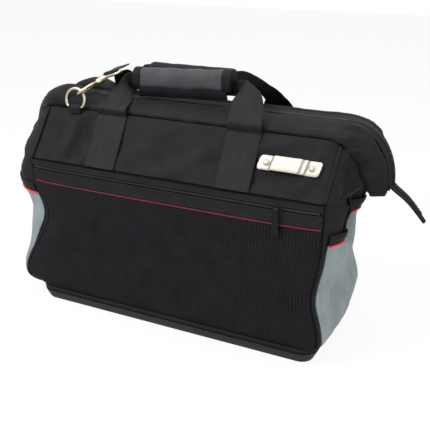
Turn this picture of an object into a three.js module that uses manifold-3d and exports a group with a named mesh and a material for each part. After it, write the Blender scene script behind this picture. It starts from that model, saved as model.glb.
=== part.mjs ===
// Zippered tool bag with a steel mouth frame, in millimetres, +Z up.
// The origin is on the floor under the middle of the tray. X runs along the bag, Y towards its back.

import * as THREE from 'three';
import { mergeVertices } from 'three/addons/utils/BufferGeometryUtils.js';
import Module from 'manifold-3d';

const wasm = await Module();
wasm.setup();

// General clearances and cloth
const gap = 0.3;
const clothThickness = 1.8;
const panelThickness = 2.4;

// Moulded tray
const trayLength = 424;
const trayDepth = 202;
const trayHeight = 15;
const trayWall = 3;
const trayFloor = 3;
const trayDraft = 6;
const trayCornerRadius = 34;
const boardThickness = 3;
const boardMargin = 3;

// Welt between the tray and the cloth body
const weltHeight = 6;
const weltWidth = 11;

// Cloth body
const bodyHalfLength = 213;
const bodyHalfDepth = 94;
const shoulderHeight = 213;
const bottomBulge = { left: 22, right: 4 };
const bottomBulgeHeight = 40;
const bottomBulgeSpread = 35;
const waist = { left: 24, right: 9 };
const waistHeight = { left: 138, right: 90 };
const waistSpread = 38;
const panelCrown = 2;
const endCrown = { left: 16, right: 5 };
const cornerPipingRadius = 2.6;

// End gussets, which fold in and reach out to the frame pivots
const gussetFoldDepth = 24;
const gussetFoldHeight = 174;
const gussetFoldSpread = 18;
const gussetReachStart = 184;
const gussetSag = 16;

// End pockets
const endPocketTop = 163;
const endPocketBulge = { left: 18, right: 17 };
const endBandHeight = 14;
const endPocketThickness = 2;
const endPocketInset = 2.2;

// Front mesh pocket and its zip
const pocketZipHeight = 203;
const pocketBulge = 7;
const pocketStandOff = 3;
const pocketBandHeight = 19;
const pocketHeaderHeight = 8.4;
const pocketZipGap = 1.6;
const meshThickness = 1.4;
const bandThickness = 2;

// Mouth: two U frames in hollow sleeves, hinged at the ends
const pivotX = 250;
const pivotZ = 213;
const sleeveTopZ = 288;
const sleeveInnerY = 54;
const sleeveOuterY = 17;
const sleeveTilt = 13;
const sleeveFlatHalf = { inner: 196, outer: 204 };
const sleeveLegX = { inner: pivotX - 12, outer: pivotX + 13 };
const sleeveLegY = { inner: 24, outer: 10 };
const sleeveLegBottom = 223;
const sleeveThickness = 12;
const sleeveWall = 1.6;
const frameRadius = 3;
const frameEyeRadius = 7;
const frameEyeThickness = 2.4;
const frameBarDrop = 6;
const rivetRadius = 2.5;
const rivetHeadRadius = 5;
const rivetHeadHeight = 1.8;

// Mouth zip, its slider and its tail
const tapeThickness = 1.4;
const coilHalfWidth = 3;
const coilThickness = 3.2;
const tapeRise = 3;
const tapeDip = 3;
const zipHalfGap = 0.75;
const tailDrop = 62;
const tailReach = 44;
const tailWidth = 13;
const tailThickness = 3.4;
const topSliderX = 66;
const pocketSliderX = 156;
const sliderLength = 12;
const sliderWidth = 9;
const sliderPlate = 1;
const sliderWedge = 0.9;
const sliderBar = { radius: 0.9, rise: 2.2, half: 3.6, post: 1.5 };
const pullerEye = { radius: 1.9, bore: 1.2, length: 3.6 };
const pullerThickness = 1.6;
const pocketPuller = { length: 34, width: 10, lean: -0.05 };
const topPuller = { length: 28, width: 8, lean: 0 };

// Webbing handles and the padded grip
const webbingWidth = 46;
const webbingThickness = 2;
const handleX = { left: -99, right: 93 };
const handleTailTop = 0.945;
const handleStand = { out: 2.2, up: 9 };
const rolledWidth = 21;
const rearRolledWidth = 17.5;
const gripStart = -88;
const gripLength = 145;
const gripHeight = 29;
const gripDepth = 23;
const gripY = -11;
const gripZ = 321;
const gripBore = { height: 25, depth: 8 };
const rearGripBore = { height: 19.8, depth: 6.4 };
const rearGripY = 16;
const rearGripZ = 329;
const rearGripHeight = 24;
const rearGripDepth = 17;
const rearGripLength = 134;

// Rings, snap hooks and the shoulder strap
const ringRadius = 15;
const ringRod = 2.1;
const ringBarDrop = 9.5;
const ringTabWidth = 25;
const ringTabThickness = 1.8;
const ringTabLength = 9;
const ringX = 158;
const hookHalfWidth = 9;
const hookLength = 34;
const hookRod = 2.3;
const barrelRadius = 5;
const barrelLength = 15;
const swivelRadius = 2.4;
const eyeHalfWidth = 23.5;
const eyeDepth = 11;
const eyeRod = 2;
const gateRod = 1.7;
const strapWidth = 38;
const strapThickness = 2;
const strapFold = 20;

// How each ring leaves the cloth and its snap hook hangs from it (angles in radians)
const frontHang = { at: 0.92, lean: 0.37, cross: 0.7, turn: 0.3, eyeTurn: 0.28, eye: [-133, -1, 324] };
const rearHang = { at: 0.9, lean: 0.37, cross: -0.25, turn: 0.65, eyeTurn: -0.54, eye: [150, 128, 203] };

// Centre line of the shoulder strap, from the front eye over the mouth and down the back to the rear eye
const strapOver = [
  { at: [-128.5, 24, 318], across: [0.9, -0.35, 0.2] },
  { at: [-140.5, 41, 307], across: [0.93, -0.3, 0.1] },
  { at: [-148, 55, 292], across: [1, -0.1, 0] },
  { at: [-151, 67, 273], across: [1, 0, 0] },
  { at: [-150, 85, 244], across: [1, 0, 0] },
  { at: [-149, 101, 216], across: [1, 0, 0] },
];
const strapDown = [
  { at: [-149, 104, 212], across: [1, 0, 0] },
  { at: [-147, 109, 180], across: [1, 0.2, 0] },
  { at: [-138, 117, 130], across: [0.7, 0.7, 0] },
  { at: [-105, 122, 84], across: [0.2, 1, 0] },
  { at: [-40, 124, 56], across: [0, 1, 0] },
  { at: [40, 124, 54], across: [0, 1, 0] },
  { at: [95, 124, 78], across: [0, 1, 0] },
  { at: [128, 126, 116], across: [0, 1, 0.1] },
  { at: [145, 130, 152], across: [0, 1, 0.2] },
  { at: [147, 134, 179], across: [0, 0.88, 0.47] },
];

// Metal clip plate on the front
const plateX = 159;
const plateLength = 77;
const plateWidth = 18.5;
const plateThickness = 1.2;
const plateRise = 4.2;
const plateCentreZ = 248;
const plateTabLength = 15;
const plateRivetRadius = 2;
const plateRivetHead = 3.2;

const V = (x, y, z) => new THREE.Vector3(x, y, z);
const lerp = THREE.MathUtils.lerp;
const bag = new THREE.Group();

// Closed solids

function orient(points, faces) {
  let volume = 0;
  for (const [a, b, c] of faces) {
    const [p, q, r] = [points[a], points[b], points[c]];
    volume += p.dot(q.clone().cross(r));
  }
  return volume < 0 ? faces.map(([a, b, c]) => [a, c, b]) : faces;
}

function closed(points, faces) {
  const geometry = new THREE.BufferGeometry();
  geometry.setAttribute('position', new THREE.Float32BufferAttribute(points.flatMap((p) => [p.x, p.y, p.z]), 3));
  geometry.setIndex(orient(points, faces).flat());
  return geometry;
}

function strip(first, second, wrap) {
  const faces = [];
  const last = wrap ? first.length : first.length - 1;
  for (let i = 0; i < last; i++) {
    const j = (i + 1) % first.length;
    faces.push([first[i], first[j], second[j]], [first[i], second[j], second[i]]);
  }
  return faces;
}

// Cloth sheet: surface(u, v) is its outer face, and the cloth lies behind it, away from the facing side.
function sheet(surface, columns, rows, thickness, facing) {
  const outer = [];
  const inner = [];
  const step = 1e-3;
  for (let r = 0; r <= rows; r++) {
    for (let c = 0; c <= columns; c++) {
      const [u, v] = [c / columns, r / rows];
      const [u0, u1] = [Math.max(0, u - step), Math.min(1, u + step)];
      const [v0, v1] = [Math.max(0, v - step), Math.min(1, v + step)];
      const along = surface(u1, v).sub(surface(u0, v));
      const up = surface(u, v1).sub(surface(u, v0));
      const normal = along.cross(up).normalize();
      if (normal.dot(facing) < 0) normal.negate();
      outer.push(surface(u, v));
      inner.push(surface(u, v).addScaledVector(normal, -thickness));
    }
  }
  const width = columns + 1;
  const faces = [];
  for (const [base, turned] of [[0, false], [outer.length, true]]) {
    for (let r = 0; r < rows; r++) {
      for (let c = 0; c < columns; c++) {
        const a = base + r * width + c;
        const quad = [[a, a + 1, a + width + 1], [a, a + width + 1, a + width]];
        faces.push(...(turned ? quad.map(([x, y, z]) => [x, z, y]) : quad));
      }
    }
  }
  const border = [];
  for (let c = 0; c < columns; c++) border.push(c);
  for (let r = 0; r < rows; r++) border.push(r * width + columns);
  for (let c = columns; c > 0; c--) border.push(rows * width + c);
  for (let r = rows; r > 0; r--) border.push(r * width);
  faces.push(...strip(border.map((i) => i + outer.length), border, true));
  return closed([...outer, ...inner], faces);
}

// Sides of a strap between two rings of four points, its two broad faces split along the same diagonal
function ribbonSides(first, second) {
  const lower = strip(first.slice(0, 3), second.slice(0, 3), false);
  const upper = strip([first[3], first[2]], [second[3], second[2]], false).map(([a, b, c]) => [a, c, b]);
  return [...lower, ...upper, ...strip([first[3], first[0]], [second[3], second[0]], false)];
}

// Solid skinned over closed rings of equal point count, with a flat cap at each end.
function loft(rings, sides = (first, second) => strip(first, second, true)) {
  const count = rings[0].length;
  const points = rings.flat();
  const faces = [];
  const ring = (k) => Array.from({ length: count }, (_, i) => k * count + i);
  for (let k = 0; k + 1 < rings.length; k++) faces.push(...sides(ring(k), ring(k + 1)));
  for (const [k, turned] of [[0, false], [rings.length - 1, true]]) {
    const centre = rings[k].reduce((sum, p) => sum.add(p), V(0, 0, 0)).divideScalar(count);
    const hub = points.push(centre) - 1;
    const rim = ring(k);
    for (let i = 0; i < count; i++) {
      const [a, b] = [rim[i], rim[(i + 1) % count]];
      faces.push(turned ? [a, b, hub] : [b, a, hub]);
    }
  }
  return closed(points, faces);
}

// Solid skinned over rings that come back to the first one, such as a ring or an open tube's wall.
function loopLoft(rings) {
  const count = rings[0].length;
  const faces = [];
  const ring = (k) => Array.from({ length: count }, (_, i) => (k % rings.length) * count + i);
  for (let k = 0; k < rings.length; k++) faces.push(...strip(ring(k), ring(k + 1), true));
  return closed(rings.flat(), faces);
}

// Open sleeve between an outer and an inner set of rings.
function hollowLoft(outer, inner) {
  return loopLoft([...outer, ...inner.reverse()]);
}

function circle(radius, sides) {
  const shape = new THREE.Shape();
  for (let i = 0; i < sides; i++) {
    const angle = (2 * Math.PI * (i + 0.5)) / sides;
    const [x, y] = [radius * Math.cos(angle), radius * Math.sin(angle)];
    if (i) shape.lineTo(x, y);
    else shape.moveTo(x, y);
  }
  shape.closePath();
  return shape;
}

function merged(geometry) {
  geometry.deleteAttribute('normal');
  geometry.deleteAttribute('uv');
  return mergeVertices(geometry, 1e-4);
}

function rod(points, radius, sides, steps) {
  const path = points.length > 2 ? new THREE.CatmullRomCurve3(points) : new THREE.LineCurve3(...points);
  return merged(new THREE.ExtrudeGeometry(circle(radius, sides), { steps, extrudePath: path, bevelEnabled: false }));
}

// Woven strap: stations give a point, the direction of its width and, if it is gathered, its width.
function webbing(stations, thickness, steps) {
  const path = new THREE.CatmullRomCurve3(stations.map((s) => s.at), false, 'centripetal');
  const rings = [];
  for (let i = 0; i <= steps; i++) {
    const t = i / steps;
    const place = t * (stations.length - 1);
    const k = Math.min(Math.floor(place), stations.length - 2);
    const [from, to, part] = [stations[k], stations[k + 1], place - k];
    const tangent = path.getTangent(t);
    const across = from.across.clone().lerp(to.across, part);
    across.addScaledVector(tangent, -across.dot(tangent)).normalize();
    const normal = tangent.clone().cross(across);
    const half = lerp(from.width, to.width, part) / 2;
    const centre = path.getPoint(t);
    const corner = (a, b) => centre.clone().addScaledVector(across, a * half).addScaledVector(normal, (b * thickness) / 2);
    rings.push([corner(-1, -1), corner(1, -1), corner(1, 1), corner(-1, 1)]);
  }
  return loft(rings, ribbonSides);
}

// Boolean cuts and joins

function toManifold(geometry) {
  const mesh = new wasm.Mesh({
    numProp: 3,
    vertProperties: new Float32Array(geometry.attributes.position.array),
    triVerts: new Uint32Array(geometry.index.array),
  });
  return new wasm.Manifold(mesh);
}

function fromManifold(solid) {
  const { vertProperties, triVerts } = solid.getMesh();
  const geometry = new THREE.BufferGeometry();
  geometry.setAttribute('position', new THREE.BufferAttribute(new Float32Array(vertProperties), 3));
  geometry.setIndex(new THREE.BufferAttribute(new Uint32Array(triVerts), 1));
  return geometry;
}

function combine(added, removed = []) {
  let solid = toManifold(added[0]);
  for (const geometry of added.slice(1)) solid = solid.add(toManifold(geometry));
  for (const geometry of removed) solid = solid.subtract(toManifold(geometry));
  return fromManifold(solid);
}

function node(name, geometry, colour, roughness, metalness = 0, parent = bag) {
  const material = new THREE.MeshStandardMaterial({ color: colour, roughness, metalness });
  const mesh = new THREE.Mesh(geometry, material);
  mesh.name = name;
  parent.add(mesh);
  return mesh;
}

const finish = {
  tray: [0x3a3b3e, 0.55],
  board: [0x2a2a2c, 0.8],
  cloth: [0x26262a, 0.85],
  trim: [0x1b1b1e, 0.7],
  grey: [0x98a2a4, 0.75],
  mesh: [0x17171a, 0.8],
  webbing: [0x2b2b2f, 0.75],
  grip: [0x5c5e62, 0.8],
  steel: [0x8d9092, 0.4, 0.9],
  nickel: [0xe6dfc9, 0.3, 0.9],
  slider: [0x141416, 0.25, 0.4],
};

// Body outline: how far the cloth stands out to each side at a height

const bump = (z, centre, spread) => Math.exp(-(((z - centre) / spread) ** 2));
const smooth = (t) => THREE.MathUtils.smoothstep(t, 0, 1);

function edgeX(side, z) {
  const out = bottomBulge[side] * bump(z, bottomBulgeHeight, bottomBulgeSpread);
  const waistIn = waist[side] * bump(z, waistHeight[side], waistSpread);
  return bodyHalfLength + out - waistIn;
}

const signOf = { left: -1, right: 1 };
const bodyBottom = trayHeight + gap + weltHeight + gap;
const cornerInset = cornerPipingRadius + gap;
const mirrorRear = (p) => V(p.x, -p.y, p.z);

function roundedLoop(halfX, halfY, radius, z, cornerSteps = 4) {
  const loop = [];
  for (let corner = 0; corner < 4; corner++) {
    const sx = corner === 0 || corner === 3 ? 1 : -1;
    const sy = corner < 2 ? 1 : -1;
    for (let i = 0; i <= cornerSteps; i++) {
      const angle = (corner + i / cornerSteps) * (Math.PI / 2);
      loop.push(V(sx * (halfX - radius) + radius * Math.cos(angle), sy * (halfY - radius) + radius * Math.sin(angle), z));
    }
  }
  return loop;
}

// Tray, base board and welt

function trayLoop(inset, z) {
  const lean = trayDraft * (1 - z / trayHeight);
  const shrink = inset + lean;
  return roundedLoop(trayLength / 2 - shrink, trayDepth / 2 - shrink, Math.max(2, trayCornerRadius - shrink), z);
}

function buildTray() {
  const footRadius = 2;
  const rings = [
    trayLoop(footRadius, 0),
    trayLoop(0, footRadius),
    trayLoop(0, trayHeight),
    trayLoop(trayWall, trayHeight),
    trayLoop(trayWall, trayFloor),
  ];
  node('base_tray', loft(rings), ...finish.tray);
}

function buildBoard() {
  const bottom = trayFloor + gap;
  const inset = trayWall + boardMargin;
  node('base_board', loft([trayLoop(inset, bottom), trayLoop(inset, bottom + boardThickness)]), ...finish.board);
}

function buildWelt() {
  const loop = (inset, z) =>
    roundedLoop(trayLength / 2 - inset, trayDepth / 2 - inset, Math.max(2, trayCornerRadius - inset), z);
  const bottom = trayHeight + gap;
  const outer = [loop(-0.5, bottom), loop(0.5, bottom + weltHeight)];
  const inner = [loop(weltWidth, bottom), loop(weltWidth, bottom + weltHeight)];
  node('tray_welt', hollowLoft(outer, inner), ...finish.trim);
}

// Front and rear panels

function panelPoint(u, z, offset) {
  const x = lerp(-edgeX('left', z) + cornerInset, edgeX('right', z) - cornerInset, u);
  const rise = (z - bodyBottom) / (shoulderHeight - bodyBottom);
  const crown = panelCrown * Math.sin(Math.PI * u) * Math.sin(Math.PI * rise);
  return V(x, -bodyHalfDepth - crown - offset, z);
}

const panelRows = 10;
const panelHeights = Array.from({ length: panelRows + 1 }, (_, i) => lerp(bodyBottom, shoulderHeight - gap, i / panelRows));

function flatCircle(centre, radius, sides) {
  return Array.from({ length: sides }, (_, i) => {
    const angle = (2 * Math.PI * i) / sides;
    return centre.clone().add(V(radius * Math.cos(angle), radius * Math.sin(angle), 0));
  });
}

function buildPanels() {
  const front = (u, v) => panelPoint(u, lerp(bodyBottom, shoulderHeight - gap, v), 0);
  const rear = (u, v) => mirrorRear(front(u, v));
  node('front_panel', sheet(front, 6, panelRows, panelThickness, V(0, -1, 0)), ...finish.cloth);
  node('rear_panel', sheet(rear, 6, panelRows, panelThickness, V(0, 1, 0)), ...finish.cloth);
}

// End panels with the gusset fold above the pockets

function gussetShift(z) {
  const inward = gussetFoldDepth * bump(z, gussetFoldHeight, gussetFoldSpread);
  const reach = pivotX - rivetHeadHeight - gap - edgeX('right', shoulderHeight) - frameEyeThickness * 2;
  const outward = reach * smooth((z - gussetReachStart) / (pivotZ - gussetReachStart));
  return outward - inward;
}

function endPoint(side, u, z, offset = 0) {
  const bow = Math.sin(Math.PI * u);
  const low = 1 - smooth((z - gussetReachStart) / (shoulderHeight - gussetReachStart));
  const x = edgeX(side, z) + endCrown[side] * Math.sqrt(bow) * low + gussetShift(z) * bow ** 1.5;
  const y = lerp(-bodyHalfDepth + cornerInset, bodyHalfDepth - cornerInset, u);
  return V(signOf[side] * (x + offset), y, z);
}

function buildEnds() {
  for (const side of ['left', 'right']) {
    const surface = (u, v) => endPoint(side, u, lerp(bodyBottom, shoulderHeight - frameEyeRadius - gap, v));
    const facing = V(signOf[side], 0, 0);
    node(`${side}_end_panel`, sheet(surface, 8, 13, clothThickness, facing), ...finish.cloth);
  }
}

function buildCornerPipings() {
  for (const [front, depthSign] of [['front', -1], ['rear', 1]]) {
    for (const side of ['left', 'right']) {
      const rings = panelHeights.map((z) => {
        const centre = V(signOf[side] * edgeX(side, z), depthSign * bodyHalfDepth, z);
        return flatCircle(centre, cornerPipingRadius, 6);
      });
      node(`${front}_${side}_piping`, loft(rings), ...finish.trim);
    }
  }
}

// End pockets with an elastic band along the top

function endPocketPoint(side, u, z) {
  const height = (z - bodyBottom) / (endPocketTop + endBandHeight - bodyBottom);
  const belly = Math.sin(Math.PI * Math.min(1, 0.25 + 0.62 * height));
  const fold = gussetShift(z) * Math.sin(Math.PI * u) ** 1.5;
  const swell = (endPocketBulge[side] * belly + gap) * Math.sin(Math.PI * u) ** 0.7;
  const point = endPoint(side, u, z, endPocketThickness + gap * 1.4 + swell - fold);
  return point.setY(point.y * (bodyHalfDepth - endPocketInset) / (bodyHalfDepth - cornerInset));
}

function buildEndPockets() {
  for (const side of ['left', 'right']) {
    const facing = V(signOf[side], 0, 0);
    const pocket = (u, v) => endPocketPoint(side, u, lerp(bodyBottom, endPocketTop, v));
    const band = (u, v) => endPocketPoint(side, u, endPocketTop + gap + v * endBandHeight);
    node(`${side}_end_pocket`, sheet(pocket, 8, 10, endPocketThickness, facing), ...finish.grey);
    node(`${side}_pocket_band`, sheet(band, 8, 1, endPocketThickness, facing), ...finish.trim);
  }
}

// Front mesh pocket: mesh, zip bands and slider

function pocketPoint(u, z, offset = 0) {
  const height = (z - bodyBottom) / (shoulderHeight - bodyBottom);
  const side = 1 - Math.abs(2 * u - 1) ** 6;
  const belly = pocketBulge * side * Math.sin(Math.PI * height ** 0.8);
  const stand = pocketStandOff * (1 - Math.abs(2 * u - 1) ** 12);
  return panelPoint(u, z, gap + bandThickness + stand + belly + offset);
}

const pocketLowerTop = pocketZipHeight - pocketZipGap / 2;
const pocketUpperBottom = pocketZipHeight + pocketZipGap / 2;
const pocketMeshTop = pocketLowerTop - pocketBandHeight;

function buildFrontPocket() {
  const facing = V(0, -1, 0);
  const between = (low, high) => (u, v) => pocketPoint(u, lerp(low, high, v));
  const headerTop = pocketUpperBottom + pocketHeaderHeight;
  node('pocket_mesh', sheet(between(bodyBottom, pocketMeshTop - gap), 10, 7, meshThickness, facing), ...finish.mesh);
  node('pocket_zip_band', sheet(between(pocketMeshTop, pocketLowerTop), 10, 1, bandThickness, facing), ...finish.cloth);
  node('pocket_zip_header', sheet(between(pocketUpperBottom, headerTop), 10, 1, bandThickness, facing), ...finish.cloth);
}

// Zip slider: two plates on a wedge, and a bar on two posts that the puller's eye turns on
function box(x, y, z, at) {
  return merged(new THREE.BoxGeometry(x, y, z)).translate(at.x, at.y, at.z);
}

function barX(radius, length, sides) {
  return merged(new THREE.CylinderGeometry(radius, radius, length, sides)).rotateZ(Math.PI / 2);
}

function sliderGeometry(core, barTurn) {
  const [long, wide, plate] = [sliderLength, sliderWidth, sliderPlate];
  const outline = new THREE.Shape();
  outline.moveTo(-long / 2, -wide * 0.3);
  outline.lineTo(long * 0.2, -wide / 2);
  outline.lineTo(long / 2, -wide * 0.42);
  outline.lineTo(long / 2, wide * 0.42);
  outline.lineTo(long * 0.2, wide / 2);
  outline.lineTo(-long / 2, wide * 0.3);
  outline.closePath();
  const plateGeometry = () => merged(new THREE.ExtrudeGeometry(outline, { depth: plate, bevelEnabled: false }));
  const top = plateGeometry().translate(0, 0, core / 2);
  const bottom = plateGeometry().translate(0, 0, -core / 2 - plate);
  const wedge = box(long * 0.3, sliderWedge, core + plate, V(long * 0.25, 0, 0));
  const surface = core / 2 + plate;
  const bar = barX(sliderBar.radius, 2 * sliderBar.half, 8).translate(0, 0, surface + sliderBar.rise);
  const postHeight = sliderBar.rise + plate / 2;
  const posts = [-1, 1].map((sign) =>
    box(sliderBar.post, 2 * sliderBar.radius, postHeight, V(sign * (sliderBar.half - sliderBar.post / 2), 0, surface - plate / 2 + postHeight / 2)));
  const mount = [bar, ...posts].map((geometry) => geometry.rotateZ(barTurn));
  return combine([top, wedge, bottom, ...mount]);
}

// Puller: a rolled eye along X and a plate that hangs from it towards -Y
function pullerGeometry({ length, width }) {
  const half = pullerEye.length / 2;
  const shape = new THREE.Shape();
  shape.moveTo(-half, -pullerEye.bore);
  shape.lineTo(-width / 2, -length + width / 2);
  shape.absarc(0, -length + width / 2, width / 2, Math.PI, 2 * Math.PI, false);
  shape.lineTo(half, -pullerEye.bore);
  shape.closePath();
  const settings = { depth: pullerThickness, bevelEnabled: false, curveSegments: 6 };
  const plate = merged(new THREE.ExtrudeGeometry(shape, settings)).translate(0, 0, -pullerThickness / 2);
  const eye = barX(pullerEye.radius, pullerEye.length, 12);
  return combine([plate, eye], [barX(pullerEye.bore, pullerEye.length * 2, 12)]);
}

function addSlider(name, carrier, core, barTurn, puller) {
  bag.add(carrier);
  node(`${name}_slider`, sliderGeometry(core, barTurn), ...finish.slider, carrier);
  const hang = new THREE.Group();
  hang.position.set(0, 0, core / 2 + sliderPlate + sliderBar.rise);
  hang.rotation.set(puller.lean, 0, barTurn, 'ZXY');
  carrier.add(hang);
  node(`${name}_puller`, pullerGeometry(puller), ...finish.slider, hang);
}

function buildPocketSlider() {
  const core = bandThickness + 7 * gap;
  const u = (pocketSliderX + bodyHalfLength) / (2 * bodyHalfLength);
  const carrier = new THREE.Group();
  carrier.position.copy(pocketPoint(u, pocketZipHeight, -bandThickness / 2)).setX(pocketSliderX);
  carrier.rotation.x = Math.PI / 2;
  addSlider('pocket', carrier, core, 0, pocketPuller);
}

// Mouth rim: the inner and outer edge of a sleeve, s runs from the left leg (-1) to the right leg (1)

function rimEdge(kind, s) {
  const side = Math.sign(s) || 1;
  const distance = Math.abs(s);
  const inner = kind === 'inner';
  const flat = sleeveFlatHalf[kind];
  const y = inner ? -sleeveInnerY : -sleeveOuterY;
  const z = inner ? sleeveTopZ - sleeveTilt / 2 : sleeveTopZ + sleeveTilt / 2;
  if (distance <= 0.5) return V(side * flat * distance * 2, y, z);
  const foot = V(sleeveLegX[kind], -sleeveLegY[kind], sleeveLegBottom);
  const rise = z - sleeveLegBottom;
  const kneeX = inner ? lerp(sleeveLegX.inner, flat, 0.25) : sleeveLegX.outer;
  const knee = V(kneeX, lerp(foot.y, y, 0.35), sleeveLegBottom + rise * 0.5);
  const shoulder = V(lerp(flat, sleeveLegX[kind], inner ? 0.5 : 0.62), y, z);
  const corner = new THREE.CubicBezierCurve3(foot, knee, shoulder, V(flat, y, z));
  const point = corner.getPoint((1 - distance) * 2);
  return V(side * point.x, point.y, point.z);
}

function rimFrame(s) {
  const inner = rimEdge('inner', s);
  const outer = rimEdge('outer', s);
  const step = 1e-3;
  const [s0, s1] = [Math.max(-1, s - step), Math.min(1, s + step)];
  const middle = (t) => rimEdge('inner', t).add(rimEdge('outer', t)).divideScalar(2);
  const across = outer.clone().sub(inner);
  const half = across.length() / 2;
  across.normalize();
  const tangent = middle(s1).sub(middle(s0)).normalize();
  const normal = tangent.clone().cross(across).normalize();
  return { centre: middle(s), across, half, normal, tangent };
}

function rimStations(cornerSteps, flatSteps) {
  const list = [];
  for (let i = 0; i < cornerSteps; i++) list.push(-1 + (0.5 * i) / cornerSteps);
  for (let i = 0; i <= flatSteps; i++) list.push(-0.5 + i / flatSteps);
  for (let i = 1; i <= cornerSteps; i++) list.push(0.5 + (0.5 * i) / cornerSteps);
  return list;
}

function sleeveRing(s, inset) {
  const { centre, across, half, normal } = rimFrame(s);
  const ring = [];
  for (let i = 0; i < 10; i++) {
    const angle = (2 * Math.PI * i) / 10;
    const a = Math.cos(angle);
    const b = Math.sin(angle);
    const point = centre.clone().addScaledVector(across, a * (half - inset));
    ring.push(point.addScaledVector(normal, Math.sign(b) * Math.abs(b) ** 0.8 * (sleeveThickness / 2 - inset)));
  }
  return ring;
}

function barEnd(side) {
  const { centre, tangent } = rimFrame(side);
  return centre.addScaledVector(tangent, side * frameBarDrop).setX(side * pivotX);
}

function framePath() {
  const points = rimStations(6, 4).map((s) => rimFrame(s).centre);
  return [barEnd(-1), ...points, barEnd(1)];
}

function eyeLink(sign, shift) {
  const end = barEnd(1);
  const angle = Math.atan2(end.z - pivotZ, end.y);
  const reach = Math.hypot(end.y, end.z - pivotZ);
  const shape = new THREE.Shape();
  shape.absarc(0, 0, frameEyeRadius, Math.PI / 2, (3 * Math.PI) / 2, false);
  shape.lineTo(reach, -frameRadius);
  shape.lineTo(reach, frameRadius);
  shape.closePath();
  const hole = new THREE.Path();
  hole.absarc(0, 0, rivetRadius + gap, 0, 2 * Math.PI, true);
  shape.holes.push(hole);
  const link = merged(new THREE.ExtrudeGeometry(shape, { depth: frameEyeThickness, bevelEnabled: false, curveSegments: 8 }));
  link.rotateZ(angle);
  link.applyMatrix4(new THREE.Matrix4().makeBasis(V(0, 1, 0), V(0, 0, 1), V(1, 0, 0)));
  return link.translate(sign * pivotX - frameEyeThickness / 2 + shift, 0, pivotZ);
}

function mirrored(geometry) {
  const copy = geometry.clone();
  const position = copy.attributes.position;
  for (let i = 0; i < position.count; i++) position.setY(i, -position.getY(i));
  const index = copy.index.array;
  for (let i = 0; i < index.length; i += 3) [index[i + 1], index[i + 2]] = [index[i + 2], index[i + 1]];
  return copy;
}

function buildFrames() {
  const bar = rod(framePath(), frameRadius, 6, 36);
  const shift = (frameEyeThickness + gap) / 2;
  const front = combine([bar, eyeLink(1, -shift), eyeLink(-1, shift)]);
  const rear = combine([bar, eyeLink(1, shift), eyeLink(-1, -shift)]);
  node('front_mouth_frame', front, ...finish.steel);
  node('rear_mouth_frame', mirrored(rear), ...finish.steel);
}

function buildPivots() {
  const half = frameEyeThickness + gap * 1.5;
  const profile = [
    new THREE.Vector2(0, -half - rivetHeadHeight),
    new THREE.Vector2(rivetHeadRadius * 0.6, -half - rivetHeadHeight),
    new THREE.Vector2(rivetHeadRadius, -half),
    new THREE.Vector2(rivetRadius, -half),
    new THREE.Vector2(rivetRadius, half),
    new THREE.Vector2(rivetHeadRadius, half),
    new THREE.Vector2(rivetHeadRadius * 0.6, half + rivetHeadHeight),
    new THREE.Vector2(0, half + rivetHeadHeight),
  ];
  for (const side of ['left', 'right']) {
    const pin = merged(new THREE.LatheGeometry(profile, 10)).rotateZ(Math.PI / 2);
    node(`${side}_pivot_rivet`, pin.translate(signOf[side] * pivotX, 0, pivotZ), ...finish.steel);
  }
}

function buildSleeves() {
  const stations = rimStations(7, 3);
  const outer = stations.map((s) => sleeveRing(s, 0));
  const inner = stations.map((s) => sleeveRing(s, sleeveWall));
  const sleeve = hollowLoft(outer, inner);
  node('front_mouth_sleeve', sleeve, ...finish.cloth);
  node('rear_mouth_sleeve', mirrored(sleeve), ...finish.cloth);
}

// Mouth zip: a tape and half of the coil on each sleeve, and the tail that hangs off the right end

function tapeRing(s) {
  const { across, normal } = rimFrame(s);
  const start = rimEdge('outer', s).addScaledVector(across, 2 * gap);
  const outward = V(normal.x, 0, normal.z).normalize();
  if (outward.z < 0 && Math.abs(s) < 0.6) outward.negate();
  const proud = lerp(-tapeDip, tapeRise, smooth((Math.abs(s) - 0.5) / 0.25));
  const middle = V(start.x, -zipHalfGap, start.z).addScaledVector(outward, proud);
  const coilEdge = middle.clone().setY(-zipHalfGap - coilHalfWidth);
  const lift = (p, amount) => p.clone().addScaledVector(outward, amount);
  return [
    lift(start, -tapeThickness / 2),
    lift(coilEdge, -coilThickness / 2),
    lift(middle, -coilThickness / 2),
    lift(middle, coilThickness / 2),
    lift(coilEdge, coilThickness / 2),
    lift(start, tapeThickness / 2),
  ];
}

function buildMouthZip() {
  const tape = loft(rimStations(7, 3).map((s) => tapeRing(s)));
  node('front_zip_tape', tape, ...finish.trim);
  node('rear_zip_tape', mirrored(tape), ...finish.trim);
}

function buildZipTail() {
  const root = rimEdge('outer', 1);
  const from = V(root.x + 3, 0, root.z - gap - 2);
  const to = V(from.x + tailReach, 0, from.z - tailDrop + 20);
  const stations = [
    { at: from, across: V(0, 1, 0), width: 20 },
    { at: from.clone().lerp(to, 0.45).add(V(2, 0, 2)), across: V(0, 1, 0), width: tailWidth * 1.3 },
    { at: to, across: V(0, 1, 0), width: tailWidth * 0.5 },
  ];
  node('mouth_zip_tail', webbing(stations, tailThickness, 8), ...finish.trim);
}

function buildTopSlider() {
  const carrier = new THREE.Group();
  carrier.position.set(topSliderX, 0, rimEdge('outer', 0).z + rimFrame(0).across.z * 2 * gap - tapeDip);
  addSlider('mouth', carrier, coilThickness + 2 * gap, Math.PI / 2, topPuller);
}

// Upper panels between the shoulder and the sleeves, and the gussets beside them

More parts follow.
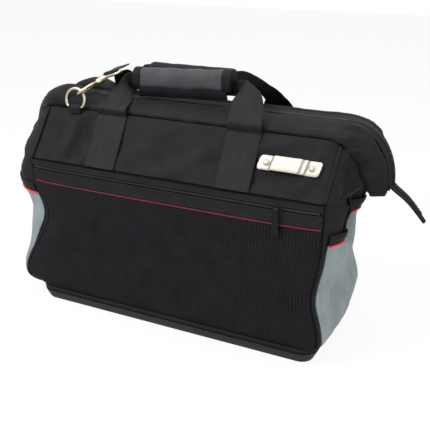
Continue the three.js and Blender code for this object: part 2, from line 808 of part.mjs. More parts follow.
function upperPanelPoint(u, v) {
  const s = lerp(-0.5, 0.5, u);
  const seam = rimEdge('inner', s);
  const tuck = V(0, -gap * 4, -gap * 5);
  const left = -edgeX('left', shoulderHeight) + cornerInset;
  const right = edgeX('right', shoulderHeight) - cornerInset;
  const low = V(lerp(left, right, u), -bodyHalfDepth, shoulderHeight + gap + clothThickness * 0.6);
  const high = V(lerp(-sleeveFlatHalf.inner, sleeveFlatHalf.inner, u), seam.y, seam.z).add(tuck);
  return low.lerp(high, v);
}

function buildUpperPanels() {
  const rear = (u, v) => mirrorRear(upperPanelPoint(u, v));
  node('front_upper_panel', sheet(upperPanelPoint, 6, 4, clothThickness, V(0, -1, 0.6)), ...finish.cloth);
  node('rear_upper_panel', sheet(rear, 6, 4, clothThickness, V(0, 1, 0.6)), ...finish.cloth);
}

// A gusset spans from the panel's side edge to the leg of the sleeve, and sags inwards between them.
function gussetPoint(side, u, v) {
  const column = side === 'left' ? 0 : 1;
  const edge = upperPanelPoint(column, lerp(0.03, 0.93, v)).add(V(signOf[side] * (clothThickness * 1.6 + gap), 0, 0));
  const s = lerp(1, 0.56, v);
  const { across } = rimFrame(s * signOf[side]);
  const leg = rimEdge('inner', s * signOf[side]).addScaledVector(across, -clothThickness - gap);
  const point = edge.clone().lerp(leg, u);
  const sag = gussetSag * Math.sin(Math.PI * u) * (1 - v) ** 0.7;
  return point.add(V(-signOf[side] * sag, 0, 0));
}

function buildGussets() {
  for (const side of ['left', 'right']) {
    const front = (u, v) => gussetPoint(side, u, v);
    const rear = (u, v) => mirrorRear(front(u, v));
    const facing = V(signOf[side], -0.8, 0);
    node(`front_${side}_gusset`, sheet(front, 4, 6, clothThickness, facing), ...finish.cloth);
    node(`rear_${side}_gusset`, sheet(rear, 4, 6, clothThickness, mirrorRear(facing)), ...finish.cloth);
  }
}

// Handles: webbing sewn down the upper panels, then free up to the grip

function panelFace(x, v, offset) {
  const low = upperPanelPoint(0.5, 0);
  const high = upperPanelPoint(0.5, 1);
  const slope = high.clone().sub(low).normalize();
  const normal = V(0, -slope.z, slope.y);
  const point = low.lerp(high, v).addScaledVector(normal, offset);
  return V(x, point.y, point.z);
}

function buildSewnWebbing() {
  const offset = gap + webbingThickness / 2;
  for (const side of ['left', 'right']) {
    const stations = [0.02, 0.5, handleTailTop].map((v) => ({ at: panelFace(handleX[side], v, offset), across: V(1, 0, 0), width: webbingWidth }));
    const front = webbing(stations, webbingThickness, 4);
    node(`front_${side}_handle_tail`, front, ...finish.webbing);
    node(`rear_${side}_handle_tail`, mirrored(front), ...finish.webbing);
  }
}

// The line each handle folds about, just above the end of its sewn webbing
function handleBase() {
  const end = panelFace(0, handleTailTop, gap + webbingThickness / 2);
  const slope = panelFace(0, 1, 0).sub(panelFace(0, 0, 0)).normalize();
  return end.addScaledVector(slope, webbingThickness / 2 + gap);
}

function handleStations(y, z, start, length, rolled) {
  const base = handleBase();
  const rise = (x, t, lean) => V(x, lerp(base.y, y, t) - lean, lerp(base.z, z, t));
  const standing = (x) => V(x, base.y - handleStand.out, base.z + handleStand.up);
  const inside = (t) => ({ at: V(start + t * length, y, z), across: V(0, 0, -1), width: rolled });
  return [
    { at: rise(handleX.left, 0, 0), across: V(1, 0, 0), width: webbingWidth },
    { at: standing(handleX.left), across: V(1, 0, 0), width: webbingWidth },
    { at: rise(handleX.left, 0.4, 2), across: V(1, 0, 0), width: webbingWidth * 0.86 },
    { at: rise(handleX.left + 1, 0.7, 0), across: V(0.8, 0.35, -0.4), width: webbingWidth * 0.5 },
    { at: V(start - 10, y - 3, z - 3), across: V(0.2, 0.3, -0.93), width: rolled },
    inside(0.04),
    inside(0.3),
    inside(0.7),
    inside(0.96),
    { at: V(start + length + 9, y - 1, z - 1.2), across: V(-0.15, -0.05, -0.98), width: rolled },
    { at: V(handleX.right - 12, y - 9, z - 9), across: V(-0.75, -0.2, -0.6), width: webbingWidth * 0.62 },
    { at: rise(handleX.right - 1, 0.45, 1), across: V(-1, 0, 0), width: webbingWidth * 0.9 },
    { at: standing(handleX.right), across: V(-1, 0, 0), width: webbingWidth },
    { at: rise(handleX.right, 0, 0), across: V(-1, 0, 0), width: webbingWidth },
  ];
}

function ovalLoop(x, y, z, height, depth, count = 12) {
  return Array.from({ length: count }, (_, i) => {
    const angle = (2 * Math.PI * (i + 0.5)) / count;
    const [c, s] = [Math.cos(angle), Math.sin(angle)];
    const square = (value) => Math.sign(value) * Math.abs(value) ** 0.7;
    return V(x, y + (depth / 2) * square(c), z + (height / 2) * square(s));
  });
}

function buildFrontHandle() {
  node('front_handle_webbing', webbing(handleStations(gripY, gripZ, gripStart, gripLength, rolledWidth), webbingThickness, 65), ...finish.webbing);
  const outer = [0, 0.06, 0.3, 0.7, 0.94, 1].map((t) => {
    const shrink = t === 0 || t === 1 ? 2 : 0;
    return ovalLoop(gripStart + t * gripLength, gripY, gripZ, gripHeight - shrink, gripDepth - shrink);
  });
  const inner = [0, 0.5, 1].map((t) => ovalLoop(gripStart + t * gripLength, gripY, gripZ, gripBore.height, gripBore.depth));
  node('grip_wrap', hollowLoft(outer, inner), ...finish.grip);
}

function buildRearHandle() {
  const start = gripStart + 4;
  const path = handleStations(-rearGripY, rearGripZ, start, rearGripLength, rearRolledWidth);
  node('rear_handle_webbing', mirrored(webbing(path, webbingThickness, 65)), ...finish.webbing);
  const outer = [0, 0.1, 0.5, 0.9, 1].map((t) => {
    const shrink = t === 0 || t === 1 ? 3 : 0;
    return ovalLoop(start + t * rearGripLength, rearGripY, rearGripZ, rearGripHeight - shrink, rearGripDepth - shrink);
  });
  const { height, depth } = rearGripBore;
  const inner = [0, 1].map((t) => ovalLoop(start + t * rearGripLength, rearGripY, rearGripZ, height, depth));
  node('rear_handle_sleeve', hollowLoft(outer, inner), ...finish.webbing);
}

// Clip plate: a raised metal strip on two riveted tabs

function buildClipPlate() {
  const half = plateLength / 2;
  const tab = plateTabLength;
  const step = 4;
  const profile = new THREE.Shape();
  profile.moveTo(-half, 0);
  profile.lineTo(-half + tab, 0);
  profile.lineTo(-half + tab + step, plateRise);
  profile.lineTo(half - tab - step, plateRise);
  profile.lineTo(half - tab, 0);
  profile.lineTo(half, 0);
  profile.lineTo(half, plateThickness);
  profile.lineTo(half - tab + 0.6, plateThickness);
  profile.lineTo(half - tab - step + 0.6, plateRise + plateThickness);
  profile.lineTo(-half + tab + step - 0.6, plateRise + plateThickness);
  profile.lineTo(-half + tab - 0.6, plateThickness);
  profile.lineTo(-half, plateThickness);
  profile.closePath();
  const bar = merged(new THREE.ExtrudeGeometry(profile, { depth: plateWidth, bevelEnabled: false }));
  bar.rotateX(Math.PI / 2).translate(0, plateWidth / 2, 0);
  const cutters = [-1, 1].map((sign) =>
    merged(new THREE.CylinderGeometry(plateRivetRadius + gap, plateRivetRadius + gap, plateThickness * 4, 12))
      .rotateX(Math.PI / 2).translate(sign * (half - tab / 2), 0, 0));
  const low = panelFace(0, 0, 0);
  const high = panelFace(0, 1, 0);
  const slope = high.clone().sub(low).normalize();
  const at = (plateCentreZ - low.z) / (high.z - low.z);
  const carrier = new THREE.Group();
  carrier.position.copy(panelFace(plateX, at, gap));
  carrier.quaternion.setFromRotationMatrix(new THREE.Matrix4().makeBasis(V(1, 0, 0), slope, V(0, -slope.z, slope.y)));
  bag.add(carrier);
  node('clip_plate', combine([bar], cutters), ...finish.nickel, carrier);
  const profileRivet = [
    new THREE.Vector2(0, 0),
    new THREE.Vector2(plateRivetRadius, 0),
    new THREE.Vector2(plateRivetRadius, plateThickness + gap),
    new THREE.Vector2(plateRivetHead, plateThickness + gap),
    new THREE.Vector2(plateRivetHead * 0.6, plateThickness + gap + 1.3),
    new THREE.Vector2(0, plateThickness + gap + 1.5),
  ];
  for (const [side, sign] of [['left', -1], ['right', 1]]) {
    const rivet = merged(new THREE.LatheGeometry(profileRivet, 8)).rotateX(Math.PI / 2);
    node(`clip_plate_${side}_rivet`, rivet.translate(sign * (half - tab / 2), 0, 0), ...finish.nickel, carrier);
  }
}

// Rings, snap hooks and shoulder strap

// Rod bent into a closed loop, from points of its centre line
function closedRod(points, radius, sides, steps) {
  const path = new THREE.CatmullRomCurve3(points, true, 'centripetal');
  const plane = points[1].clone().sub(points[0]).cross(points[2].clone().sub(points[0])).normalize();
  const rings = [];
  for (let i = 0; i < steps; i++) {
    const centre = path.getPointAt(i / steps);
    const side = path.getTangentAt(i / steps).cross(plane).normalize();
    rings.push(Array.from({ length: sides }, (_, k) => {
      const angle = (2 * Math.PI * k) / sides;
      return centre.clone().addScaledVector(side, radius * Math.cos(angle)).addScaledVector(plane, radius * Math.sin(angle));
    }));
  }
  return loopLoft(rings);
}

// Half ring on a straight bar, in its own plane: x along the bar, y up, the ring's centre at 0
function ringGeometry() {
  const points = [];
  const low = Math.asin(-ringBarDrop / ringRadius);
  for (let i = 0; i <= 12; i++) {
    const angle = lerp(low, Math.PI - low, i / 12);
    points.push(V(ringRadius * Math.cos(angle), ringRadius * Math.sin(angle), 0));
  }
  const end = points[12].x;
  points.push(V(end / 2, -ringBarDrop, 0), V(-end / 2, -ringBarDrop, 0));
  return closedRod(points, ringRod, 6, 26);
}

// Webbing tab folded over the ring's bar, hanging down from it
function tabGeometry(length) {
  const wrap = ringRod + gap + ringTabThickness / 2;
  const points = [];
  const leg = (side, t) => V(0, -ringBarDrop - length * t, side * lerp(wrap, (ringTabThickness + gap) / 2, smooth((t - 0.3) * 2)));
  for (const t of [1, 0.8, 0.3]) points.push(leg(-1, t));
  for (let i = 0; i <= 6; i++) {
    const angle = Math.PI + (Math.PI * i) / 6;
    points.push(V(0, -ringBarDrop - wrap * Math.sin(angle), wrap * Math.cos(angle)));
  }
  for (const t of [0.3, 0.8, 1]) points.push(leg(1, t));
  const rings = points.map((p, i) => {
    const before = points[Math.max(0, i - 1)];
    const after = points[Math.min(points.length - 1, i + 1)];
    const tangent = after.clone().sub(before).normalize();
    const normal = V(1, 0, 0).cross(tangent).multiplyScalar(ringTabThickness / 2);
    const half = ringTabWidth / 2 - ringRod;
    return [p.clone().sub(normal), p.clone().add(normal)].flatMap((q, k) => (k ? [V(half, q.y, q.z), V(-half, q.y, q.z)] : [V(-half, q.y, q.z), V(half, q.y, q.z)]));
  });
  return loft(rings);
}

// Snap hook along +x from the middle of its bend, its loop in the xy plane
function hookGeometry() {
  const w = hookHalfWidth;
  const points = [
    V(hookLength + 4, 0, 0),
    V(hookLength - 3, 1.5, 0),
    V(hookLength * 0.72, w * 0.75, 0),
    V(hookLength * 0.42, w, 0),
    V(w * 0.45, w * 0.82, 0),
    V(0, 0, 0),
    V(w * 0.45, -w * 0.8, 0),
    V(w * 0.9, -w * 0.98, 0),
  ];
  const bend = rod(points, hookRod, 6, 20);
  const body = [
    new THREE.Vector2(0, 0),
    new THREE.Vector2(barrelRadius * 0.7, 0),
    new THREE.Vector2(barrelRadius, 3),
    new THREE.Vector2(barrelRadius, barrelLength - 2),
    new THREE.Vector2(barrelRadius * 0.8, barrelLength),
    new THREE.Vector2(0, barrelLength),
  ];
  const barrel = merged(new THREE.LatheGeometry(body, 10)).rotateZ(-Math.PI / 2).translate(hookLength, 0, 0);
  const boreLength = barrelLength * 0.6;
  const bore = merged(new THREE.CylinderGeometry(swivelRadius + gap, swivelRadius + gap, boreLength, 10))
    .rotateZ(Math.PI / 2).translate(hookLength + barrelLength - boreLength / 2 + 0.5, 0, 0);
  return combine([bend, barrel], [bore]);
}

function gateGeometry() {
  const tip = V(hookHalfWidth * 0.9 + hookRod + gap, -hookHalfWidth * 0.98, 0);
  const root = V(hookLength + 3, -barrelRadius - gateRod - gap, 0);
  return rod([root, tip], gateRod, 6, 1);
}

// Swivel post with the strap's bar frame, along +x from the barrel's mouth
function eyeGeometry() {
  const start = hookLength + barrelLength * 0.5;
  const mouth = hookLength + barrelLength;
  const post = merged(new THREE.CylinderGeometry(swivelRadius, swivelRadius, mouth + 3 - start, 10))
    .rotateZ(Math.PI / 2).translate((start + mouth + 3) / 2, 0, 0);
  const w = eyeHalfWidth;
  const frame = closedRod([
    V(mouth + 2.6, 0, 0), V(mouth + 3, w * 0.5, 0), V(mouth + 4, w * 0.95, 0), V(mouth + 4 + eyeDepth * 0.5, w + 1, 0),
    V(mouth + 3 + eyeDepth, w * 0.95, 0), V(mouth + 4 + eyeDepth, w * 0.5, 0), V(mouth + 4 + eyeDepth, 0, 0),
    V(mouth + 4 + eyeDepth, -w * 0.5, 0), V(mouth + 3 + eyeDepth, -w * 0.95, 0), V(mouth + 4 + eyeDepth * 0.5, -w - 1, 0),
    V(mouth + 4, -w * 0.95, 0), V(mouth + 3, -w * 0.5, 0),
  ], eyeRod, 6, 24);
  return combine([post, frame]);
}

// The front ring stands up at the left end, held by its hook; the rear one hangs down at the right end.
const frontSlope = panelFace(0, 1, 0).sub(panelFace(0, 0, 0)).normalize();

function ringPlace(seat, up) {
  const normal = V(1, 0, 0).cross(up);
  const tabEnd = seat.clone().addScaledVector(normal, ringTabThickness + gap / 2);
  const centre = tabEnd.addScaledVector(up, ringTabLength + ringBarDrop);
  return { centre, up, matrix: new THREE.Matrix4().makeBasis(V(1, 0, 0), up, normal).setPosition(centre) };
}

function snapPlace({ centre, up }, hang) {
  const [sine, cosine] = [Math.sin(hang.cross), Math.cos(hang.cross)];
  const crossing = centre.clone().add(V(ringRadius * sine, 0, 0)).addScaledVector(up, ringRadius * cosine);
  const tangent = V(cosine, 0, 0).addScaledVector(up, -sine);
  const along = V(...hang.eye).sub(crossing).normalize();
  const normal = tangent.addScaledVector(along, -tangent.dot(along)).normalize();
  const across = normal.clone().cross(along);
  normal.applyAxisAngle(along, hang.turn);
  across.applyAxisAngle(along, hang.turn);
  const seat = hookRod + ringRod + 3 * gap;
  const origin = crossing.addScaledVector(along, -seat);
  return new THREE.Matrix4().makeBasis(along, across, normal).setPosition(origin);
}

// Strap end folded round the far bar of an eye, from its short end to the side that runs on
function strapLoop(place, side) {
  const bar = hookLength + barrelLength + 4 + eyeDepth;
  const wrap = eyeRod + gap + strapThickness / 2;
  const across = V(0, 1, 0).transformDirection(place);
  const local = [[strapFold, -strapThickness * 0.6 - gap], [strapFold * 0.4, -strapThickness], [0, -wrap]];
  for (const turn of [0.25, 0.5, 0.75]) {
    local.push([-wrap * Math.sin(Math.PI * turn), -wrap * Math.cos(Math.PI * turn)]);
  }
  local.push([0, wrap], [strapFold * 0.5, wrap]);
  return local.map(([x, z]) => ({ at: V(bar + x, 0, side * z).applyMatrix4(place), across, width: strapWidth }));
}

function strapRoute(route) {
  return route.map(({ at, across }) => ({ at: V(...at), across: V(...across), width: strapWidth }));
}

function sameSide(stations) {
  for (let i = 1; i < stations.length; i++) {
    if (stations[i].across.dot(stations[i - 1].across) < 0) stations[i].across.negate();
  }
  return stations;
}

function buildSnaps() {
  const frontUp = frontSlope.clone().applyAxisAngle(V(1, 0, 0), frontHang.lean);
  const rearUp = mirrorRear(frontSlope).negate().applyAxisAngle(V(1, 0, 0), rearHang.lean);
  const front = ringPlace(panelFace(-ringX, frontHang.at, gap), frontUp);
  const rear = ringPlace(mirrorRear(panelFace(ringX, rearHang.at, gap)), rearUp);
  const frontSnap = snapPlace(front, frontHang);
  const rearSnap = snapPlace(rear, rearHang);
  const frontEye = frontSnap.clone().multiply(new THREE.Matrix4().makeRotationX(frontHang.eyeTurn));
  const rearEye = rearSnap.clone().multiply(new THREE.Matrix4().makeRotationX(rearHang.eyeTurn));
  for (const [end, ring, snap, eye] of [['front', front.matrix, frontSnap, frontEye], ['rear', rear.matrix, rearSnap, rearEye]]) {
    node(`${end}_ring_tab`, tabGeometry(ringTabLength).applyMatrix4(ring), ...finish.webbing);
    node(`${end}_ring`, ringGeometry().applyMatrix4(ring), ...finish.nickel);
    node(`${end}_snap_hook`, hookGeometry().applyMatrix4(snap), ...finish.nickel);
    node(`${end}_snap_gate`, gateGeometry().applyMatrix4(snap), ...finish.nickel);
    node(`${end}_snap_eye`, eyeGeometry().applyMatrix4(eye), ...finish.nickel);
  }
  const over = sameSide([...strapLoop(frontEye, 1), ...strapRoute(strapOver)]);
  const down = sameSide([...strapRoute(strapDown), ...strapLoop(rearEye, -1).reverse()]);
  node('shoulder_strap_front', webbing(over, strapThickness, 44), ...finish.webbing);
  node('shoulder_strap_rear', webbing(down, strapThickness, 44), ...finish.webbing);
}

buildTray();
buildBoard();
buildWelt();
buildPanels();
buildEnds();
buildCornerPipings();
buildEndPockets();
buildFrontPocket();
buildPocketSlider();
buildFrames();
buildPivots();
buildSleeves();
buildMouthZip();
buildZipTail();
buildTopSlider();
buildUpperPanels();
buildGussets();
buildSewnWebbing();
buildFrontHandle();
buildRearHandle();
buildClipPlate();
buildSnaps();

export default bag;
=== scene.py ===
# %% [markdown]
# # Zippered tool bag with a hinged wire mouth
# A soft bag of woven polyester stands on a moulded tray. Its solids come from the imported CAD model, and
# this file dresses them in cloth, webbing, zips and metal. Lengths are in millimetres, apart from those of
# the lamps, the floor, the camera's clipping and the start and end of a blend, which are in metres.

import math

import bpy
from mathutils import Matrix, Vector, noise


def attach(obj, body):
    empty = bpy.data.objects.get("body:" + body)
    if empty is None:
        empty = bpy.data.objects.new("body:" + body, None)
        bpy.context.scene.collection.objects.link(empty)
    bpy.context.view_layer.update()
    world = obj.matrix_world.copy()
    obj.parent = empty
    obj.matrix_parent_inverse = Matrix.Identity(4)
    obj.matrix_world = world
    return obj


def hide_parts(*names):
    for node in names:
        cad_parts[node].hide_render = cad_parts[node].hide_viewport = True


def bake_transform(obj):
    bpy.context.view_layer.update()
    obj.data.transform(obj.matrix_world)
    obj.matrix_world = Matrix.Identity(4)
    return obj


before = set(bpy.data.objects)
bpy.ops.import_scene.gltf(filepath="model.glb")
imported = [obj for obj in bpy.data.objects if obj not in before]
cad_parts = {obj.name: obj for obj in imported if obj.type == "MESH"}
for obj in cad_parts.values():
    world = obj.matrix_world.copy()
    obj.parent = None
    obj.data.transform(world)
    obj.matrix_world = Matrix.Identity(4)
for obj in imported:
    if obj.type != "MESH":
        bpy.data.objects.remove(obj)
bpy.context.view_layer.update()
MM = 0.001
print("CAD nodes:", len(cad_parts))

# %% [markdown]
# ## Camera
# The photograph looks at the bag from the front right and a little above, with mild perspective. The
# camera comes first, because every later judgement of shape is made through it.

# %% Place the camera
AZIMUTH, ELEVATION, ROLL = (math.radians(a) for a in (25.3, 20.9, 0.8))
DISTANCE = 945.4
FOCAL_LENGTH, SENSOR_WIDTH = 56.235, 36
LOOK_AT = Vector((27.5, 0, 138.3))
back = Vector((
    math.sin(AZIMUTH) * math.cos(ELEVATION),
    -math.cos(AZIMUTH) * math.cos(ELEVATION),
    math.sin(ELEVATION),
))
right = Vector((math.cos(AZIMUTH), math.sin(AZIMUTH), 0))
up = back.cross(right)
lens = bpy.data.cameras.new("camera")
lens.lens, lens.sensor_width = FOCAL_LENGTH, SENSOR_WIDTH
lens.clip_start, lens.clip_end = 0.01, 20
camera = bpy.data.objects.new("camera", lens)
bpy.context.scene.collection.objects.link(camera)
rolled_right = right * math.cos(ROLL) + up * math.sin(ROLL)
rolled_up = up * math.cos(ROLL) - right * math.sin(ROLL)
camera.matrix_world = Matrix.LocRotScale(
    (LOOK_AT + back * DISTANCE) * MM,
    Matrix((rolled_right, rolled_up, back)).transposed(),
    None,
)
bpy.context.scene.camera = camera
print("camera at", [round(c, 3) for c in camera.location])

# %% [markdown]
# ## Colours and nodes
# Colours are written as on a paint card, in sRGB hex, and one function turns them to the linear values
# that the shader wants. Others add a node with its settings and links, join a material's colour and
# relief to its shader, and print how many pieces there are.

# %% Colour, node and print helpers
def colour(code):
    parts = [int(code[i:i + 2], 16) / 255 for i in (1, 3, 5)]
    return (*(c / 12.92 if c <= 0.04045 else ((c + 0.055) / 1.055) ** 2.4 for c in parts), 1)


def add_node(material, kind, values=None, links=None, **settings):
    node = material.node_tree.nodes.new(kind)
    for name, value in settings.items():
        setattr(node, name, value)
    for socket, value in (values or {}).items():
        node.inputs[socket].default_value = value
    for socket, source in (links or {}).items():
        material.node_tree.links.new(source, node.inputs[socket])
    return node


def new_material(name, **sockets):
    material = bpy.data.materials.new(name)
    material.use_nodes = True
    shader = material.node_tree.nodes["Principled BSDF"]
    for socket, value in sockets.items():
        shader.inputs[socket.replace("_", " ")].default_value = value
    return material, shader


def coat(material, shader, tone, relief):
    links = material.node_tree.links
    links.new(tone.outputs[0], shader.inputs["Base Color"])
    links.new(relief.outputs[0], shader.inputs["Normal"])
    return material


# %% [markdown]
# ## Floor and light
# The bag was photographed on white. The floor is pale and shows nearly white to the camera and to
# reflections, while it still takes the bag's soft shadow. Three large lamps give plain studio light.

# %% Make the floor, the world and the lamps
def light_ray_share(material):
    path = add_node(material, "ShaderNodeLightPath").outputs
    glossy = add_node(material, "ShaderNodeMath", operation="MAXIMUM",
                      links={0: path["Is Camera Ray"], 1: path["Is Glossy Ray"]})
    return add_node(material, "ShaderNodeMath", operation="MAXIMUM",
                    links={0: glossy.outputs[0], 1: path["Is Transmission Ray"]}).outputs[0]


# Strength of the sky on the bag, share of white in the floor that the camera sees, floor's side in metres
WORLD_LIGHT, FLOOR_WHITE, FLOOR_SIZE = 0.4, 0.92, 12
world = bpy.data.worlds.new("studio")
world.use_nodes = True
bpy.context.scene.world = world
sky = world.node_tree.nodes["Background"]
strength = add_node(world, "ShaderNodeMapRange", {"To Min": WORLD_LIGHT, "To Max": 1.0},
                    {"Value": light_ray_share(world)})
sky.inputs["Color"].default_value = (1, 1, 1, 1)
world.node_tree.links.new(strength.outputs[0], sky.inputs["Strength"])

bpy.ops.object.select_all(action="DESELECT")
bpy.ops.mesh.primitive_plane_add(size=FLOOR_SIZE, location=(0, 0, 0))
floor = bpy.context.object
floor.name = "studio_floor"
paper, paper_shader = new_material("white_backdrop_paper", Roughness=0.9)
paper_shader.inputs["Base Color"].default_value = colour("#f6f6f6")
white = add_node(paper, "ShaderNodeEmission", {"Color": (1, 1, 1, 1), "Strength": 1.0})
share = add_node(paper, "ShaderNodeMath", {1: FLOOR_WHITE}, {0: light_ray_share(paper)},
                 operation="MULTIPLY")
blend_white = add_node(paper, "ShaderNodeMixShader", links={
    0: share.outputs[0], 1: paper_shader.outputs[0], 2: white.outputs[0]})
paper.node_tree.links.new(blend_white.outputs[0], paper.node_tree.nodes["Material Output"].inputs[0])
floor.data.materials.append(paper)

# Each lamp has its place and side in metres and its power in watts, and looks at the middle of the bag
LAMP_AIM = Vector((0, 0, 0.15))
for name, place, size, power in (
    ("key_lamp", (-0.9, -1.1, 1.6), 0.8, 30),
    ("fill_lamp", (1.5, -0.9, 0.9), 1.0, 12),
    ("top_lamp", (0.1, 0.3, 1.9), 1.4, 18),
):
    lamp = bpy.data.lights.new(name, "AREA")
    lamp.size = size
    lamp.energy = power
    holder = bpy.data.objects.new(name, lamp)
    bpy.context.scene.collection.objects.link(holder)
    holder.location = place
    holder.rotation_euler = (LAMP_AIM - Vector(place)).to_track_quat("-Z", "Y").to_euler()
bpy.context.scene.view_settings.view_transform = "Standard"

# %% [markdown]
# ## Cloth and webbing materials
# The black cloth is plain-woven polyester with a coated back: dull, with a faint thread grid. Real
# threads are about 0.5 mm apart, too fine to show here, so they are drawn about 2 mm apart. The grid
# comes from two crossed wave patterns on each piece's own UV map, which is in metres.

# %% Woven materials
def wave_scale(period):
    """Scale of a wave texture whose bands are this many millimetres apart."""
    return 2 * math.pi / 20 / (period * MM)


def woven(name, dark, light, threads, depth, mottle=28, bumpy=0.35, **sockets):
    """Cloth with threads this far apart across and along, and cloudy patches of the size mottle."""
    material, shader = new_material(name, **sockets)
    places = add_node(material, "ShaderNodeTexCoord").outputs
    weave = None
    for direction, period in zip("XY", threads):
        bands = add_node(material, "ShaderNodeTexWave", {"Scale": wave_scale(period), "Distortion": 0.4},
                         {"Vector": places["UV"]}, bands_direction=direction).outputs["Fac"]
        weave = bands if weave is None else add_node(
            material, "ShaderNodeMath", links={0: weave, 1: bands}, operation="MULTIPLY").outputs[0]
    cloud = add_node(material, "ShaderNodeTexNoise", {"Scale": 1 / (mottle * MM), "Detail": 4},
                     {"Vector": places["Object"]}).outputs["Fac"]
    mixed = add_node(material, "ShaderNodeMath", {1: depth}, {0: weave, 2: cloud}, operation="MULTIPLY_ADD")
    share = add_node(material, "ShaderNodeMapRange", {"From Min": 0.3, "From Max": 0.75 + depth},
                     {"Value": mixed.outputs[0]})
    tone = add_node(material, "ShaderNodeMixRGB", {"Color1": colour(dark), "Color2": colour(light)},
                    {"Fac": share.outputs[0]})
    relief = add_node(material, "ShaderNodeBump", {"Strength": bumpy, "Distance": 0.4 * MM},
                      {"Height": mixed.outputs[0]})
    return coat(material, shader, tone, relief)


# Plain-woven 600 denier polyester, piece-dyed black: dull, with a slight shine along raised folds
polyester = woven("black_woven_polyester", "#0b0b0d", "#202024", (2.0, 2.0), 0.5,
                  Roughness=0.74, Specular_IOR_Level=0.18)
# The same cloth in grey on the end pockets
grey_cloth = woven("grey_woven_polyester", "#6f797c", "#949ea1", (2.0, 2.0), 0.35,
                   Roughness=0.7, Specular_IOR_Level=0.3)
# Narrow folded tape that binds the seams, a little smoother than the cloth
binding = woven("black_binding_tape", "#0a0a0c", "#19191c", (2.4, 5.0), 0.4,
                Roughness=0.65, Specular_IOR_Level=0.17)
# Ribbed polypropylene webbing: cords run along it, so the light breaks into fine lines
webbing = woven("black_ribbed_webbing", "#0a0a0c", "#1e1e22", (2.6, 3.4), 0.6, bumpy=0.5,
                Roughness=0.66, Specular_IOR_Level=0.2)
# Raschel-knit pocket mesh: upright cords about 4 mm apart with dark holes between them
mesh_cloth = woven("black_knitted_mesh", "#020204", "#222227", (4.0, 3.0), 1.3, bumpy=0.9,
                   Roughness=0.75, Specular_IOR_Level=0.14)
# Padded grip in grey polyester
grip_cloth = woven("grey_padded_grip_polyester", "#2e2f32", "#4c4d50", (2.0, 2.0), 0.4,
                   Roughness=0.7, Specular_IOR_Level=0.3)
# Satin piping cord, dyed red
red_piping = woven("red_satin_piping", "#b81c28", "#ea3340", (1.6, 1.6), 0.3, bumpy=0.15,
                   Roughness=0.5, Specular_IOR_Level=0.4)
# The same cord under the pocket zip, painted a duller and darker red as painted shade under the band
red_piping_painted_shade = woven("red_satin_piping_painted_shade", "#48101a", "#741c2c", (1.6, 1.6), 0.3,
                Roughness=0.65, Specular_IOR_Level=0.3)
print("woven materials:", len(bpy.data.materials))

# %% [markdown]
# ## Plastic and metal materials
# The tray is injection-moulded polypropylene with a fine leather grain. The hooks and rings are nickel
# plated die castings, pale and a little warm, and the zip's slider is glossy black enamel on zinc.

# %% Moulded and metal materials
def grained(name, dark, light, grain, bumpy, **sockets):
    """Moulded, cast or drawn surface with a fine grain and broad patches 14 times as large."""
    material, shader = new_material(name, **sockets)
    places = add_node(material, "ShaderNodeTexCoord").outputs["Object"]
    fine = add_node(material, "ShaderNodeTexNoise", {"Scale": 1 / (grain * MM), "Detail": 5},
                    {"Vector": places}).outputs["Fac"]
    broad = add_node(material, "ShaderNodeTexNoise", {"Scale": 1 / (grain * 14 * MM), "Detail": 3},
                     {"Vector": places}).outputs["Fac"]
    tone = add_node(material, "ShaderNodeMixRGB", {"Color1": colour(dark), "Color2": colour(light)},
                    {"Fac": broad})
    relief = add_node(material, "ShaderNodeBump", {"Strength": bumpy, "Distance": 0.3 * MM}, {"Height": fine})
    return coat(material, shader, tone, relief)


# Polypropylene from a grained mould: matt dark grey
tray_plastic = grained("moulded_polypropylene", "#121315", "#1b1c1f", 1.4, 0.5,
                       Roughness=0.6, Specular_IOR_Level=0.22)
# Pressed fibre board that stiffens the bottom
fibre_board = grained("pressed_fibre_board", "#242426", "#323234", 1.0, 0.4, Roughness=0.85)
# Polished nickel plate over brass: pale, warm, with faint smears
nickel = grained("polished_nickel_plate", "#b0a78f", "#cfc6ae", 3.0, 0.05, Metallic=1.0, Roughness=0.34)
# The clip plate has the same plating, brushed: duller, so that its pressed steps show
satin_nickel = grained("brushed_nickel_plate", "#9b958d", "#b9b3aa", 4.0, 0.1,
                       Metallic=1.0, Roughness=0.5)
# The hook bodies show more of the brass through the thin plate
brassy = grained("worn_nickel_on_brass", "#ad8a5a", "#cfb384", 3.0, 0.08, Metallic=1.0, Roughness=0.36)
# Drawn steel wire, bright zinc finish
steel = grained("zinc_plated_steel_wire", "#8b8e90", "#a5a8aa", 2.0, 0.1, Metallic=1.0, Roughness=0.4)
# Black enamelled zinc of the zip sliders
enamel = grained("black_enamelled_zinc", "#050506", "#0b0b0d", 2.0, 0.05,
                 Roughness=0.28, Specular_IOR_Level=0.2)
# Moulded nylon coil of the zips
coil_nylon = grained("black_nylon_zip_coil", "#121215", "#202024", 1.0, 0.2,
                     Roughness=0.5, Specular_IOR_Level=0.25)
print("all materials:", len(bpy.data.materials))

# %% [markdown]
# ## Tools for soft pieces
# A cloth piece is a grid whose points are moved onto a surface given by a function. It gets its
# thickness from Solidify, away from the outer face. Webbing is a flat rounded section drawn along a
# smooth line, and piping is a curve with a round bevel.

# %% Number helpers
def clamp(t, low=0.0, high=1.0):
    return max(low, min(high, t))


def lerp(a, b, t):
    return a + (b - a) * t


def smooth(t):
    t = clamp(t)
    return t * t * (3 - 2 * t)


def bump(z, centre, spread):
    return math.exp(-(((z - centre) / spread) ** 2))


def arch(t):
    return math.sin(math.pi * clamp(t))


def heights(low, high, steps):
    return [lerp(low, high, i / steps) for i in range(steps + 1)]


def ridge(spot, start, end, width):
    """1 on the line from start to end and 0 a few widths away from it. All are 2-D places."""
    line = Vector(end) - Vector(start)
    away = Vector(spot) - Vector(start)
    along = clamp(away.dot(line) / line.length_squared)
    return math.exp(-(((away - line * along).length / width) ** 2))


